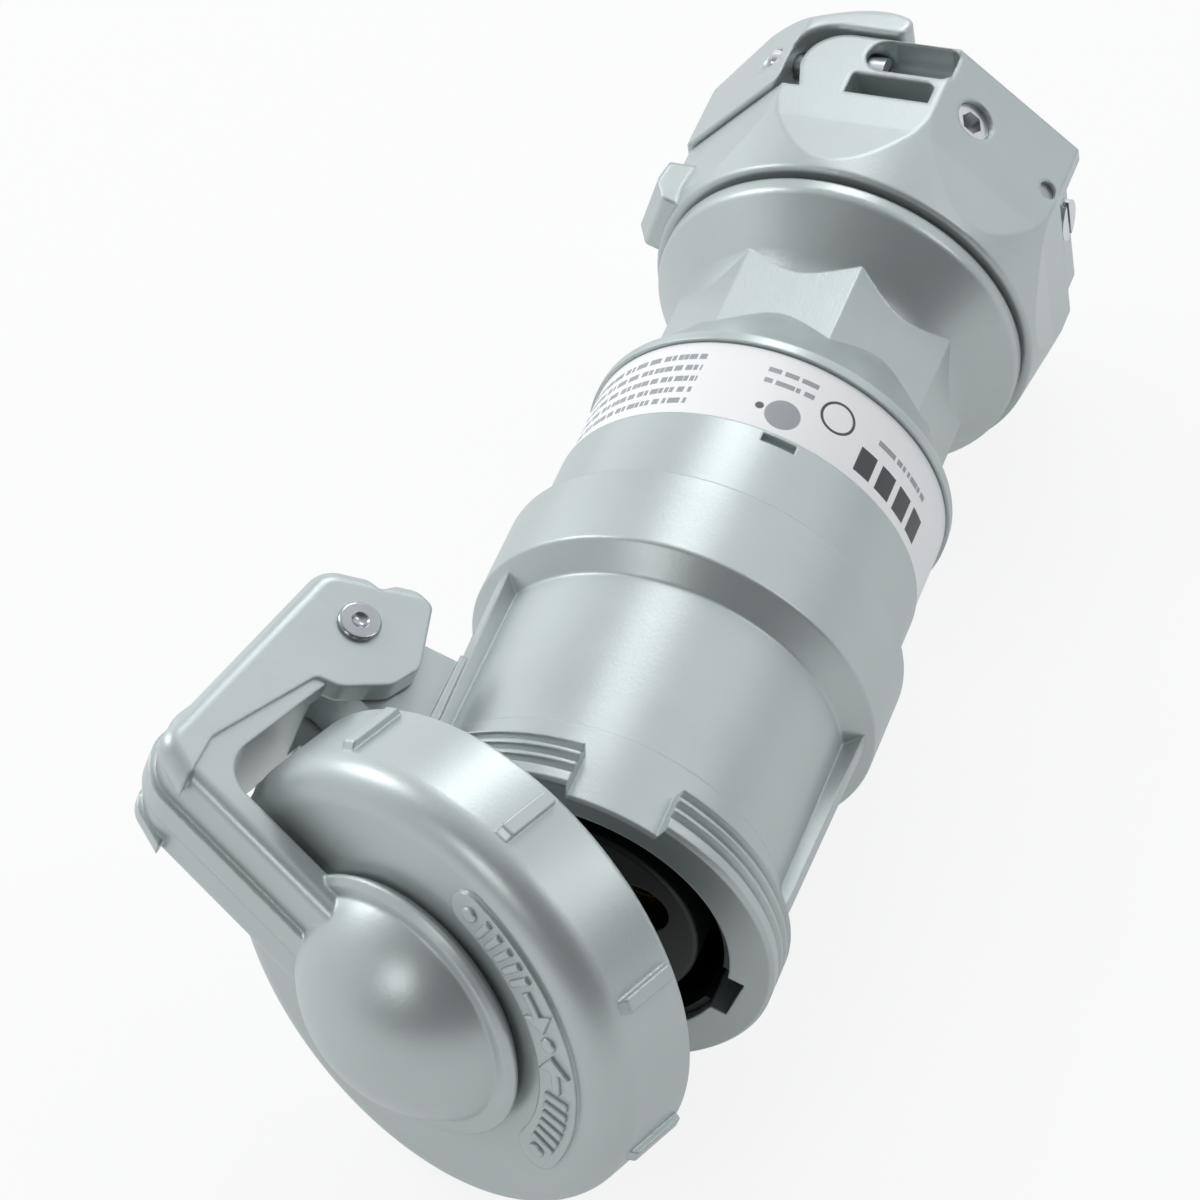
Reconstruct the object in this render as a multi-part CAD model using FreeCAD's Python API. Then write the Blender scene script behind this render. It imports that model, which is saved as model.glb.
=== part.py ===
"""Industrial cable coupler with a hinged screw cover and a clamping gland nut.

The origin is the centre of the open mouth. +Y runs along the main axis from the
mouth to the cable end, and +Z is up as the coupler lies on a flat of its nut.
The cover, its arm and the hinge bracket are drawn with the hinge pin upright and
the cover shut, then swung ajar about the pin and rolled about the main axis.
Sizes are in millimetres.
"""
import FreeCAD, Part
import math
import os

V = FreeCAD.Vector
ORIGIN = V(0, 0, 0)
ALONG_X = V(1, 0, 0)
ALONG_Y = V(0, 1, 0)
ALONG_Z = V(0, 0, 1)
WEDGE_END = 90.0            # a partial cylinder about +Y ends here, from +X towards +Z

# Poses of the hinge
HINGE_ROLL = 25.5           # the hinge pin leans this much from upright, degrees
COVER_AJAR = 22.0           # the cover stands this far open, degrees

# Clearances
RUN_FIT = 0.05              # radial play of a pin that turns
PRESS_PLAY = 0.02           # play left round a pin that sits tight
SLIP_FIT = 0.3              # play of pieces that are pushed or screwed together
FACE_GAP = 0.3              # air between faces that pass each other

# Front sleeve
BORE_R = 29.7
SLEEVE_WALL = 3.7
SLEEVE_R = BORE_R + SLEEVE_WALL
THREAD_H = 4.2              # crest of the interrupted thread above the sleeve
THREAD_R = SLEEVE_R + THREAD_H
THREAD_PITCH = 2.3
THREAD_DEPTH = 1.2
THREAD_FIRST = 3.4          # first valley behind the mouth's face
THREAD_LAST = 1.3           # thread left behind the last valley
THREAD_VALLEYS = 3
THREAD_LEN = THREAD_FIRST + (THREAD_VALLEYS - 1) * THREAD_PITCH + THREAD_LAST
THREAD_GAP = 28.0           # each plain sector between the thread halves, degrees
THREAD_GAP_AT = 92.5
RELIEF_END = 15.5
RELIEF_STEP = 0.5
SHOULDER_Y = 54.0
SHOULDER_CHAMFER = 4.4
RING_H = 4.6                # shoulder ring above the sleeve
RING_LEN = 17.0
RING_R = SLEEVE_R + RING_H
SLEEVE_END = SHOULDER_Y + RING_LEN
KEYWAY_W = 10.5
KEYWAY_DEPTH = 2.6
KEYWAY_R = BORE_R + KEYWAY_DEPTH
KEYWAY_LEN = 14.0
JOIN_AHEAD = 2.0            # the rear socket starts this far before the shoulder
BORE_DEPTH = SHOULDER_Y - JOIN_AHEAD
JOIN_STEP = 1.8
JOIN_R = BORE_R + JOIN_STEP  # socket that takes the rear housing
RIB_ANGLES = (20.0, 165.0, 195.0, 340.0)
RIB_T = 3.2
RIB_START = 11.0
RIB_FRONT_H = 2.2
RIB_REAR_H = 3.2
STOP_PROUD = 0.7            # lug behind the thread that stops the plug's nut
STOP_R = THREAD_R + STOP_PROUD
STOP_Y0 = THREAD_LEN - FACE_GAP
STOP_LEN = 5.0
STOP_HALF = 4.0
STOP_ANGLE = 337.0

# Pieces clamped between the castings
RETAINER_T = 3.0
HOUSING_GASKET_T = 1.0
GUARD_T = 3.0
GUARD_RIM = 2.0             # the guard's rim fills the bore behind the insulator

# Insulator and its contacts
LINER_T = 1.2
GROOVE_R = BORE_R - SLIP_FIT - LINER_T  # outer wall of the groove for the plug's sleeve
GROOVE_W = 4.8
TOWER_R = GROOVE_R - GROOVE_W
TOWER_FOOT = 31.6
INSULATOR_FRONT = 1.6
INSULATOR_BACK = BORE_DEPTH - GUARD_RIM
CONTACT_COUNT = 4
CONTACT_PCD_R = 13.5
CONTACT_R = 5.9
CONTACT_HOLE_R = CONTACT_R + SLIP_FIT
CONTACT_BORE_R = 4.05
CONTACT_BORE_LEN = 26.0
CONTACT_RECESS = 6.0
TERMINAL_TAIL = 12.0
WIRE_HOLE_R = 3.2
TERMINAL_SCREW_R = 2.4
TERMINAL_SCREW_HEAD = 3.9

# Rear housing
CABLE_R = 14.0              # opening for the cable
JOIN_START = BORE_DEPTH + RETAINER_T + HOUSING_GASKET_T
COLLAR_STEP = 3.2           # the collar lies this far inside the shoulder ring
COLLAR_R = RING_R - COLLAR_STEP
COLLAR_LEN = 17.0
COLLAR_END = SLEEVE_END + COLLAR_LEN
LABEL_SINK = 0.8
LABEL_R = COLLAR_R - LABEL_SINK
LABEL_T = 0.35
LABEL_LEN = 18.6
LABEL_END = COLLAR_END + LABEL_LEN
LIP_H = 1.0
LIP_LEN = 2.0
LIP_R = LABEL_R + LIP_H
LIP_END = LABEL_END + LIP_LEN
WAIST_SINK = 8.0
WAIST_R = LABEL_R - WAIST_SINK
WAIST_FALL = 14.0           # length of the slope down to the waist
WAIST_LEN = 11.4
WAIST_RISE = 12.0
WAIST_START = LIP_END + WAIST_FALL
WAIST_END = WAIST_START + WAIST_LEN
WAIST_FLAT = WAIST_R + 0.6  # half the width across the waist flats
WAIST_FLAT_START = LIP_END + 7.4
HOUSING_WALL = 4.2
HOUSING_BORE = JOIN_R - SLIP_FIT - HOUSING_WALL
HOUSING_BORE_END = LIP_END + 1.4
NECK_R = CABLE_R + 5.0
NECK_TAPER = 10.0
NECK_LEN = 19.0
NECK_START = HOUSING_BORE_END + NECK_TAPER
NECK_END = NECK_START + NECK_LEN
BUSH_T = 10.0               # rubber between the cable and its socket
SPIGOT_WALL = 6.0
BUSH_SOCKET_R = CABLE_R + BUSH_T
SPIGOT_R = BUSH_SOCKET_R + SPIGOT_WALL
FLANGE_H = 5.6
FLANGE_LEN = 2.8
FLANGE_R = SPIGOT_R + FLANGE_H
FLANGE_START = WAIST_END + WAIST_RISE
FLANGE_END = FLANGE_START + FLANGE_LEN
WAIST_FLAT_END = FLANGE_START - 3.0
KEY_SLOT_LEN = 6.4
KEY_SLOT_W = 1.8
KEY_SLOT_EDGE = 0.7
KEY_SLOT_DEPTH = 1.4
KEY_SLOT_ANGLE = 68.0

# Rubber bushing and its washer
BUSH_PLAY = 0.4
BUSH_FRONT = NECK_END + BUSH_PLAY
BUSH_LEN = 24.8
WASHER_T = 2.4
CABLE_PLAY = 0.4

# Gland nut
NUT_GAP = 1.2               # air between the flange and the nut
NUT_FRONT = FLANGE_END + NUT_GAP
NUT_WALL = 6.5
NUT_FLAT = SPIGOT_R + NUT_WALL  # half the width across the nut's flats
NUT_FRONT_R = NUT_FLAT + 0.7
NUT_FLAT_START = NUT_FRONT + 2.0  # the flats fade in from here
NUT_FLAT_FULL = NUT_FRONT + 14.0
NUT_CORNER_Y = NUT_FLAT_FULL + 5.0  # the corners reach their full height here
NUT_WALL_FRONT = BUSH_FRONT + BUSH_LEN + WASHER_T + 2 * FACE_GAP
SPIGOT_PLAY = 2.2           # travel left between the spigot's end and the nut's wall
SPIGOT_END = NUT_WALL_FRONT - SPIGOT_PLAY
NUT_WEB = 4.8
NUT_SHOULDER = NUT_WALL_FRONT + NUT_WEB
NUT_LUG_H = 5.7
NUT_LUG_R = NUT_FLAT + NUT_LUG_H
NUT_LUG_W = 14.0
NUT_LUG_LEN = 14.0
NUT_LUG_END = NUT_FRONT + NUT_LUG_LEN
LUG_ANGLE = 157.5

# Cable clamp
CLAMP_INSET = 5.5
CLAMP_Z = NUT_FLAT - CLAMP_INSET  # height of each clamp screw off the main axis
CLAMP_BEHIND = 11.0
CLAMP_Y = NUT_SHOULDER + CLAMP_BEHIND
CLAMP_SCREW_R = 2.3
CLAMP_HEAD_R = 3.6
CLAMP_HEAD_L = 3.6
CLAMP_SEAT_X = -2.5
CLAMP_SCREW_LEN = 19.0
HEAD_PLAY = 0.6
GROOVE_HALF = CLAMP_HEAD_R + HEAD_PLAY  # half the width of the groove round a screw's head
GROOVE_END_X = 15.5
BLOCK_END = CLAMP_Y + GROOVE_HALF + 0.2
FINGER_TIP_X = -13.5
FINGER_ROOT_X = -3.0        # the pocket in front of a finger starts here
GROOVE_LIP = 1.2            # left in front of the groove in a finger
FINGER_FRONT = CLAMP_Y - GROOVE_HALF - GROOVE_LIP
FINGER_INNER_Z = CLAMP_Z - 11.0
BLOCK_FACE_X = 3.0
SADDLE_R = CABLE_R + 1.0
JAW_GAP = 0.8
JAW_FRONT = NUT_SHOULDER + JAW_GAP
JAW_PROUD = 1.1
JAW_FLAT = NUT_FLAT + JAW_PROUD
JAW_FACE_X = -16.5
HOOK_T = 8.0
HOOK_INNER_Y = BLOCK_END + JAW_GAP
HOOK_OUTER_Y = HOOK_INNER_Y + HOOK_T
HOOK_TIP_X = 3.4

# Lock screw and guide pin on the nut's upper right flat
LOCK_Y = NUT_SHOULDER + 3.6
LOCK_OFFSET = 6.5
LOCK_R = 4.0
LOCK_SINK = 1.2
LOCK_LEN = 7.0
LOCK_KEY_W = 4.0
LOCK_KEY_DEPTH = 2.6
GUIDE_PIN_Y = NUT_SHOULDER + 1.8
GUIDE_PIN_OFFSET = -12.7
PIN_HOLE_R = 1.9
PIN_LEN = 8.0
PIN_SINK = 1.0

# Recess and screw on the nut's right flat
SIDE_DEPTH = 3.2
SIDE_Y0 = NUT_SHOULDER + 2.6
SIDE_Z1 = 12.5
SIDE_SCREW_Y = NUT_SHOULDER + 9.5
SIDE_SCREW_Z = 2.0
SIDE_SCREW_R = 2.4
SIDE_SCREW_HEAD_R = 4.0
SIDE_SCREW_HEAD_H = 2.2
SIDE_SCREW_LEN = 10.0

# Cap
CAP_AIR = 3.3               # air between the thread and the cap's skirt
CAP_WALL = 3.6
CAP_R = THREAD_R + CAP_AIR + CAP_WALL
CAP_RIM_Y = 9.8
CAP_DEPTH = 20.0
CAP_FACE_Y = CAP_RIM_Y - CAP_DEPTH
CAP_EDGE_R = 6.4
CAP_FACE_T = 5.0
GRIP_COUNT = 8
GRIP_START = 2.0
GRIP_LEN = 11.0
GRIP_W = 2.6
GRIP_H = 1.3
CAP_LUG_R = THREAD_R + 0.4  # two lugs inside the rim pass through the thread's gaps
CAP_LUG_T = 4.0
CAP_LUG_SPAN = 24.0
PANEL_EDGE = 1.1            # the panel stays this far inside the cap's rounded edge
PANEL_W = 8.0
PANEL_R1 = CAP_R - CAP_EDGE_R - PANEL_EDGE
PANEL_R0 = PANEL_R1 - PANEL_W
PANEL_H = 0.7
PANEL_FROM = -10.0
PANEL_TO = 86.0
GASKET_T = 4.7
GASKET_IN = BORE_R - 1.2
GASKET_PLAY = 3.2

# Pivot of the cap on the arm's hub
ARM_CAP_GAP = 0.8
PIVOT_R = 8.0
SPRING_ROOM = 1.6
SPRING_T = 0.8
SPRING_PLAY = 0.4
SPRING_W = 6.0
PIVOT_LEN = ARM_CAP_GAP + CAP_FACE_T + SPRING_ROOM
PIVOT_WASHER_T = 1.6
PIVOT_WASHER_R = PIVOT_R + 4.0
TAP_R = 2.6
TAP_RUNOUT = 3.2
PIVOT_WASHER_HOLE = TAP_R + 0.6
PIVOT_SCREW_LEN = 12.0
PIVOT_HEAD_R = 4.8
PIVOT_HEAD_H = 3.2
CROSS_HALF = 3.0
CROSS_W = 1.2
CROSS_DEPTH = 1.4

# Hinge
HINGE_CLEAR = 9.5           # from the cap's skirt to the hinge pin
PIN_X = -CAP_R - HINGE_CLEAR
PIN_Y = 27.1
PIN_R = 3.0
PIN_HEAD_R = PIN_R + 0.9
PIN_HEAD_H = 1.0
BRACKET_BOSS_R = 8.5
BRACKET_HALF = 7.5
BRACKET_Y0 = PIN_Y - 9.7
BRACKET_Y1 = PIN_Y + 5.8
HINGE_WASHER_T = 0.5
HINGE_WASHER_R = BRACKET_BOSS_R - 2.0
EAR_T = 4.9
EAR_TOP = BRACKET_HALF + HINGE_WASHER_T + FACE_GAP + EAR_T  # outer face of each ear

# Cover arm
EAR_R = 12.6
HORN_R = 14.3
HUB_BACK = CAP_FACE_Y - ARM_CAP_GAP
BAR_LIFT = 1.5
BAR_T = 5.5
BAR_BACK = HUB_BACK - BAR_LIFT  # face of the bar next to the cap
BAR_FRONT = BAR_BACK - BAR_T
ARM_HEEL_X = PIN_X - 7.0
LEG_CORNER_X = PIN_X - 5.4  # where the ears turn round to the bar
LEG_CORNER_Y = BAR_FRONT + 1.1
ARM_INNER_X = PIN_X + 2.5
WEB_INNER_X = PIN_X + 5.0   # inner face of the web between the ears
WEB_INNER_R = 7.0
LEG_TIP_X = PIN_X + 4.2
LEG_TIP_Y = BAR_FRONT - 1.6
LEG_ROUND = 3.0             # round along the outer edge of each ear
BAR_CORNER_R = 9.0
BAR_HALF = EAR_TOP - 0.6
BAR_EDGE = 2.6              # round along the bar's front edges
LEG_TOP_Y = PIN_Y - 13.1    # the web between the ears runs up to here
RIB_HALF = 2.8              # low rib that runs along the bar and round its corner
RIB_PROUD = 1.2
HUB_LIP_R = PANEL_R0 - 2.8
HUB_R = HUB_LIP_R - 1.7
HUB_LIP_T = 2.0
DOME_R = HUB_R - 1.9
DOME_H = 13.4
HUB_TOP = HUB_BACK - 3.2    # the dome rises from here

os.makedirs("parts", exist_ok=True)


def rounded_face(corners):
    """Flat face in the XY plane from corners (x, y, radius of the corner)."""
    count = len(corners)
    ends = []
    for i, (x, y, r) in enumerate(corners):
        here = V(x, y, 0)
        before = V(*corners[i - 1][:2], 0)
        after = V(*corners[(i + 1) % count][:2], 0)
        if r <= 0:
            ends.append((here, None, here))
            continue
        to_a = (before - here).normalize()
        to_b = (after - here).normalize()
        half = to_a.getAngle(to_b) / 2
        reach = r / math.tan(half)
        inward = (to_a + to_b).normalize()
        middle = here + inward * (r / math.sin(half) - r)
        ends.append((here + to_a * reach, middle, here + to_b * reach))
    edges = []
    for i, (start, middle, end) in enumerate(ends):
        if middle is not None:
            edges.append(Part.Arc(start, middle, end).toShape())
        following = ends[(i + 1) % count][0]
        if end.distanceToPoint(following) > 1e-6:
            edges.append(Part.makeLine(end, following))
    return Part.Face(Part.Wire(edges))


def turned(corners):
    """Solid of revolution about the main axis from corners (r, y, radius)."""
    return rounded_face(corners).revolve(ORIGIN, ALONG_Y, 360)


def ring(r_in, r_out, y0, y1):
    """Plain ring about the main axis."""
    return rod(r_out, y0, y1).cut(rod(r_in, y0, y1)) if r_in > 0 else rod(r_out, y0, y1)


def rod(r, y0, y1, x=0.0, z=0.0):
    """Cylinder along +Y from y0 to y1."""
    return Part.makeCylinder(r, y1 - y0, V(x, y0, z), ALONG_Y)


def plate(corners, z0, z1):
    """Outline in the XY plane, drawn up from z0 to z1."""
    face = rounded_face(corners)
    face.translate(V(0, 0, z0))
    return face.extrude(V(0, 0, z1 - z0))


def box(x0, x1, y0, y1, z0, z1):
    """Box between two corners."""
    return Part.makeBox(x1 - x0, y1 - y0, z1 - z0, V(x0, y0, z0))


def about_y(shape, degrees):
    """Copy of a shape turned from +X towards +Z about the main axis."""
    turned_copy = shape.copy()
    turned_copy.rotate(ORIGIN, ALONG_Y, -degrees)
    return turned_copy


def polar(radius, degrees, y):
    """Point at an angle from +X towards +Z about the main axis."""
    angle = math.radians(degrees)
    return V(radius * math.cos(angle), y, radius * math.sin(angle))


def sector(r_out, y0, y1, start, end):
    """Wedge about the main axis between two angles."""
    wedge = Part.makeCylinder(r_out, y1 - y0, V(0, y0, 0), ALONG_Y, end - start)
    return about_y(wedge, end - WEDGE_END)


def octagon(half_width, y0, y1):
    """Prism with eight flats, one of them facing straight down."""
    face = Part.Face(Part.makePolygon(octagon_points(half_width, y0)))
    return face.extrude(V(0, y1 - y0, 0))


def octagon_points(half_width, y):
    """Closed ring of the eight corners at one station."""
    corner = half_width / math.cos(math.pi / 8)
    return [polar(corner, 22.5 + 45 * i, y) for i in range(9)]


def roll_hinge(shape):
    """Lean a shape drawn with an upright hinge pin to its true place."""
    shape.rotate(ORIGIN, ALONG_Y, HINGE_ROLL)
    return shape


def swing_cover(shape):
    """Swing a shape drawn with the cover shut to where it stands ajar."""
    shape.rotate(V(PIN_X, PIN_Y, 0), ALONG_Z, -COVER_AJAR)
    return roll_hinge(shape)


def thread_sectors():
    """Interrupted thread on the mouth: two long sectors with plain gaps between."""
    profile = [(SLEEVE_R - 1, 0, 0), (THREAD_R - 0.7, 0, 0), (THREAD_R, 0.7, 0)]
    flank = THREAD_DEPTH * 0.7
    for i in range(THREAD_VALLEYS):
        valley = THREAD_FIRST + i * THREAD_PITCH
        profile += [(THREAD_R, valley - flank, 0), (THREAD_R - THREAD_DEPTH, valley, 0),
                    (THREAD_R, valley + flank, 0)]
    profile += [(THREAD_R, THREAD_LEN - 0.2, 0), (THREAD_R - 0.9, THREAD_LEN, 0),
                (SLEEVE_R - 1, THREAD_LEN, 0)]
    band = turned(profile)
    half_gap = THREAD_GAP / 2
    gaps = [sector(THREAD_R + 1, -1, THREAD_LEN + 1, a - half_gap, a + half_gap)
            for a in (THREAD_GAP_AT, THREAD_GAP_AT + 180)]
    return band.cut(gaps)


def rib():
    """Tapered rib along the sleeve, at angle zero."""
    front_r, rear_r = SLEEVE_R + RIB_FRONT_H, SLEEVE_R + RIB_REAR_H
    side = rounded_face([(SLEEVE_R - 1.5, RIB_START, 0), (front_r - 1, RIB_START, 0),
                         (front_r, RIB_START + 3, 1.5), (rear_r, SHOULDER_Y - 1, 0),
                         (SLEEVE_R - 1.5, SHOULDER_Y - 1, 0)])
    side.translate(V(0, 0, -RIB_T / 2))
    return side.extrude(V(0, 0, RIB_T))


def hinge_bracket():
    """Bracket on the sleeve with the boss that the hinge pin passes through."""
    outline = [(-SLEEVE_R + 2, BRACKET_Y0 - 7, 0), (PIN_X, PIN_Y - BRACKET_BOSS_R, 0),
               (PIN_X, BRACKET_Y1, 0), (-SLEEVE_R + 2, BRACKET_Y1, 0)]
    web = plate(outline, -BRACKET_HALF, BRACKET_HALF)
    boss_height = 2 * BRACKET_HALF
    boss = Part.makeCylinder(BRACKET_BOSS_R, boss_height, V(PIN_X, PIN_Y, -BRACKET_HALF))
    foot = box(-SLEEVE_R - 2.5, -SLEEVE_R + 2.5, BRACKET_Y0 - 6, BRACKET_Y1,
               -BRACKET_HALF - 2.2, BRACKET_HALF + 2.2)
    hole = Part.makeCylinder(PIN_R + RUN_FIT, boss_height + 2,
                             V(PIN_X, PIN_Y, -BRACKET_HALF - 1))
    return web.fuse([boss, foot]).cut(hole)


def front_sleeve():
    """Front casting: sleeve, shoulder ring, interrupted thread, ribs and bracket."""
    step = SLEEVE_R + RELIEF_STEP
    body = turned([(0, 0, 0), (step - 0.6, 0, 0), (step, 0.6, 0), (step, RELIEF_END, 0),
                   (SLEEVE_R, RELIEF_END + 0.2, 0),
                   (SLEEVE_R, SHOULDER_Y - SHOULDER_CHAMFER, 0.8),
                   (RING_R, SHOULDER_Y, 0.8), (RING_R, SLEEVE_END - 0.6, 0),
                   (RING_R - 0.6, SLEEVE_END, 0), (0, SLEEVE_END, 0)])
    ribs = [about_y(rib(), angle) for angle in RIB_ANGLES]
    stop = box(SLEEVE_R - 1, STOP_R, STOP_Y0, STOP_Y0 + STOP_LEN, -STOP_HALF, STOP_HALF)
    body = body.fuse([thread_sectors(), hinge_bracket(), about_y(stop, STOP_ANGLE)] + ribs)
    keyway = box(0, KEYWAY_R, -1, KEYWAY_LEN, -KEYWAY_W / 2, KEYWAY_W / 2)
    hollow = [rod(BORE_R, -1, BORE_DEPTH), rod(JOIN_R, BORE_DEPTH, SLEEVE_END + 1), keyway]
    return roll_hinge(body.cut(hollow).removeSplitter())


def rear_housing():
    """Rear casting: collar, label seat, eight-sided waist, flange and threaded spigot."""
    collar_front = SLEEVE_END + FACE_GAP
    outer = turned([
        (0, JOIN_START, 0), (JOIN_R - SLIP_FIT, JOIN_START, 0),
        (JOIN_R - SLIP_FIT, collar_front, 0), (COLLAR_R, collar_front, 0),
        (COLLAR_R, COLLAR_END, 0), (LABEL_R, COLLAR_END, 0), (LABEL_R, LABEL_END, 0),
        (LIP_R, LABEL_END, 0), (LIP_R, LIP_END, 1.0), (WAIST_R, WAIST_START, 14),
        (WAIST_R, WAIST_END, 12), (FLANGE_R, FLANGE_START, 2.5), (FLANGE_R, FLANGE_END, 0),
        (SPIGOT_R, FLANGE_END, 0), (SPIGOT_R, SPIGOT_END, 1.0), (0, SPIGOT_END, 0)])
    bore = turned([
        (0, JOIN_START - 1, 0), (HOUSING_BORE, JOIN_START - 1, 0),
        (HOUSING_BORE, HOUSING_BORE_END, 0), (NECK_R, NECK_START, 0), (NECK_R, NECK_END, 0),
        (BUSH_SOCKET_R, NECK_END, 0), (BUSH_SOCKET_R, SPIGOT_END + 1, 0),
        (0, SPIGOT_END + 1, 0)])
    prism = octagon(WAIST_FLAT, WAIST_FLAT_START, WAIST_FLAT_END)
    slot_y = COLLAR_END - KEY_SLOT_EDGE - KEY_SLOT_W
    slot = box(COLLAR_R - KEY_SLOT_DEPTH, COLLAR_R + 2, slot_y, slot_y + KEY_SLOT_W,
               -KEY_SLOT_LEN / 2, KEY_SLOT_LEN / 2)
    body = outer.fuse(prism).cut([bore, about_y(slot, KEY_SLOT_ANGLE)])
    return body.removeSplitter()


def label_band():
    """Thin plain band round the rear housing."""
    return ring(LABEL_R + 0.02, LABEL_R + LABEL_T, COLLAR_END + 0.3, LABEL_END - 0.3)


def contact_places():
    """Centres of the contacts in the hinge's own frame."""
    step = 360 / CONTACT_COUNT
    return [polar(CONTACT_PCD_R, step / 2 + step * i, 0) for i in range(CONTACT_COUNT)]


def insulator_liner():
    """Thin black sleeve inside the mouth, notched where the plug's key enters."""
    tube = ring(GROOVE_R, BORE_R - SLIP_FIT, INSULATOR_FRONT, TOWER_FOOT)
    notch = box(0, BORE_R, INSULATOR_FRONT - 1, KEYWAY_LEN, -KEYWAY_W / 2, KEYWAY_W / 2)
    return roll_hinge(tube.cut(notch))


def insulator_block():
    """Black moulding: a base, a centre tower and a hole for each contact."""
    body = rod(BORE_R - SLIP_FIT, TOWER_FOOT, INSULATOR_BACK)
    tower = turned([(0, INSULATOR_FRONT, 0), (TOWER_R, INSULATOR_FRONT, 1.0),
                    (TOWER_R, TOWER_FOOT + 1, 0), (0, TOWER_FOOT + 1, 0)])
    holes = [rod(CONTACT_HOLE_R, INSULATOR_FRONT - 1, INSULATOR_BACK + 1, p.x, p.z)
             for p in contact_places()]
    return roll_hinge(body.fuse(tower).cut(holes).removeSplitter())


def contact(place):
    """Brass socket with a split front, a wire hole and a tapped terminal."""
    front = INSULATOR_FRONT + CONTACT_RECESS
    back = INSULATOR_BACK + GUARD_T + TERMINAL_TAIL
    body = rod(CONTACT_R, front, back, place.x, place.z)
    bore = rod(CONTACT_BORE_R, front - 1, front + CONTACT_BORE_LEN, place.x, place.z)
    wire = rod(WIRE_HOLE_R, back - TERMINAL_TAIL + 1, back + 1, place.x, place.z)
    slit = box(place.x - CONTACT_R - 1, place.x + CONTACT_R + 1, front - 1,
               front + CONTACT_BORE_LEN - 8, place.z - 0.6, place.z + 0.6)
    tap = rod_x(TERMINAL_SCREW_R, place.x, place.x + outward(place) * 9,
                back - TERMINAL_TAIL / 2, place.z)
    return body.cut([bore, wire, slit, tap])


def outward(place):
    """Side on which a terminal screw stands, away from the middle."""
    return 1 if place.x > 0 else -1


def rod_x(r, x0, x1, y, z):
    """Cylinder along X between x0 and x1."""
    low, high = min(x0, x1), max(x0, x1)
    return Part.makeCylinder(r, high - low, V(low, y, z), ALONG_X)


def contact_sockets():
    """The contacts as separate solids."""
    return roll_hinge(Part.makeCompound([contact(p) for p in contact_places()]))


def terminal_screws():
    """One screw in the side of each contact's tail."""
    y = INSULATOR_BACK + GUARD_T + TERMINAL_TAIL / 2
    screws = []
    for p in contact_places():
        side = outward(p)
        start = p.x + side * (WIRE_HOLE_R + 0.2)
        neck = p.x + side * (CONTACT_R + 0.2)
        shank = rod_x(TERMINAL_SCREW_R - 0.02, start, neck + side, y, p.z)
        head = rod_x(TERMINAL_SCREW_HEAD, neck, neck + side * 2.6, y, p.z)
        mouth = neck + side * 1.6
        slot = box(min(mouth, mouth + side * 2), max(mouth, mouth + side * 2),
                   y - TERMINAL_SCREW_HEAD, y + TERMINAL_SCREW_HEAD, p.z - 0.5, p.z + 0.5)
        screws.append(shank.fuse(head).cut(slot).removeSplitter())
    return roll_hinge(Part.makeCompound(screws))


def terminal_guard():
    """Insulating disc behind the block with a hole for each contact's tail."""
    y0 = INSULATOR_BACK
    disc = rod(BORE_R - SLIP_FIT, y0, BORE_DEPTH).fuse(rod(BORE_R - 4, y0, y0 + GUARD_T))
    holes = [rod(CONTACT_R + SLIP_FIT, y0 - 1, y0 + GUARD_T + 1, p.x, p.z)
             for p in contact_places()]
    return roll_hinge(disc.cut(holes).removeSplitter())


def retaining_ring():
    """Ring that holds the insulator in the sleeve, clamped by the rear housing."""
    return ring(BORE_R - 3.5, JOIN_R - SLIP_FIT, BORE_DEPTH, BORE_DEPTH + RETAINER_T)


def housing_gasket():
    """Flat seal between the retaining ring and the rear housing."""
    return ring(HOUSING_BORE + 1, JOIN_R - SLIP_FIT, BORE_DEPTH + RETAINER_T, JOIN_START)


def cable_bushing():
    """Rubber bushing that grips the cable, with grooves between its lips."""
    r_out, r_in = BUSH_SOCKET_R - SLIP_FIT, CABLE_R + CABLE_PLAY
    y0, y1 = BUSH_FRONT, BUSH_FRONT + BUSH_LEN
    third = BUSH_LEN / 3
    return turned([(r_in, y0, 0), (r_out, y0, 0), (r_out, y0 + third - 1, 0),
                   (r_out - 1.5, y0 + third, 0), (r_out, y0 + third + 1, 0),
                   (r_out, y0 + 2 * third - 1, 0), (r_out - 1.5, y0 + 2 * third, 0),
                   (r_out, y0 + 2 * third + 1, 0), (r_out, y1, 0), (r_in, y1, 0)])


def gland_washer():
    """Slip washer between the bushing and the nut."""
    y0 = BUSH_FRONT + BUSH_LEN + FACE_GAP
    return ring(CABLE_R + CABLE_PLAY, BUSH_SOCKET_R - SLIP_FIT, y0, y0 + WASHER_T)


def nut_body():
    """Nut: round front that turns into eight flats with cone-shaped corners."""
    corner = NUT_FLAT / math.cos(math.pi / 8) + 0.02
    cone = turned([(0, NUT_FRONT, 0), (NUT_FRONT_R, NUT_FRONT, 0.8), (corner, NUT_CORNER_Y, 0),
                   (corner, BLOCK_END, 0), (0, BLOCK_END, 0)])
    stations = ((NUT_FRONT_R + 0.8, NUT_FRONT), (NUT_FRONT_R + 0.4, NUT_FLAT_START),
                (NUT_FLAT, NUT_FLAT_FULL))
    wires = [Part.makePolygon(octagon_points(half, y)) for half, y in stations]
    front = Part.makeLoft(wires, True, True)
    rear = octagon(NUT_FLAT, NUT_FLAT_FULL, BLOCK_END)
    return cone.common(front.fuse(rear)).removeSplitter()


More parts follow.
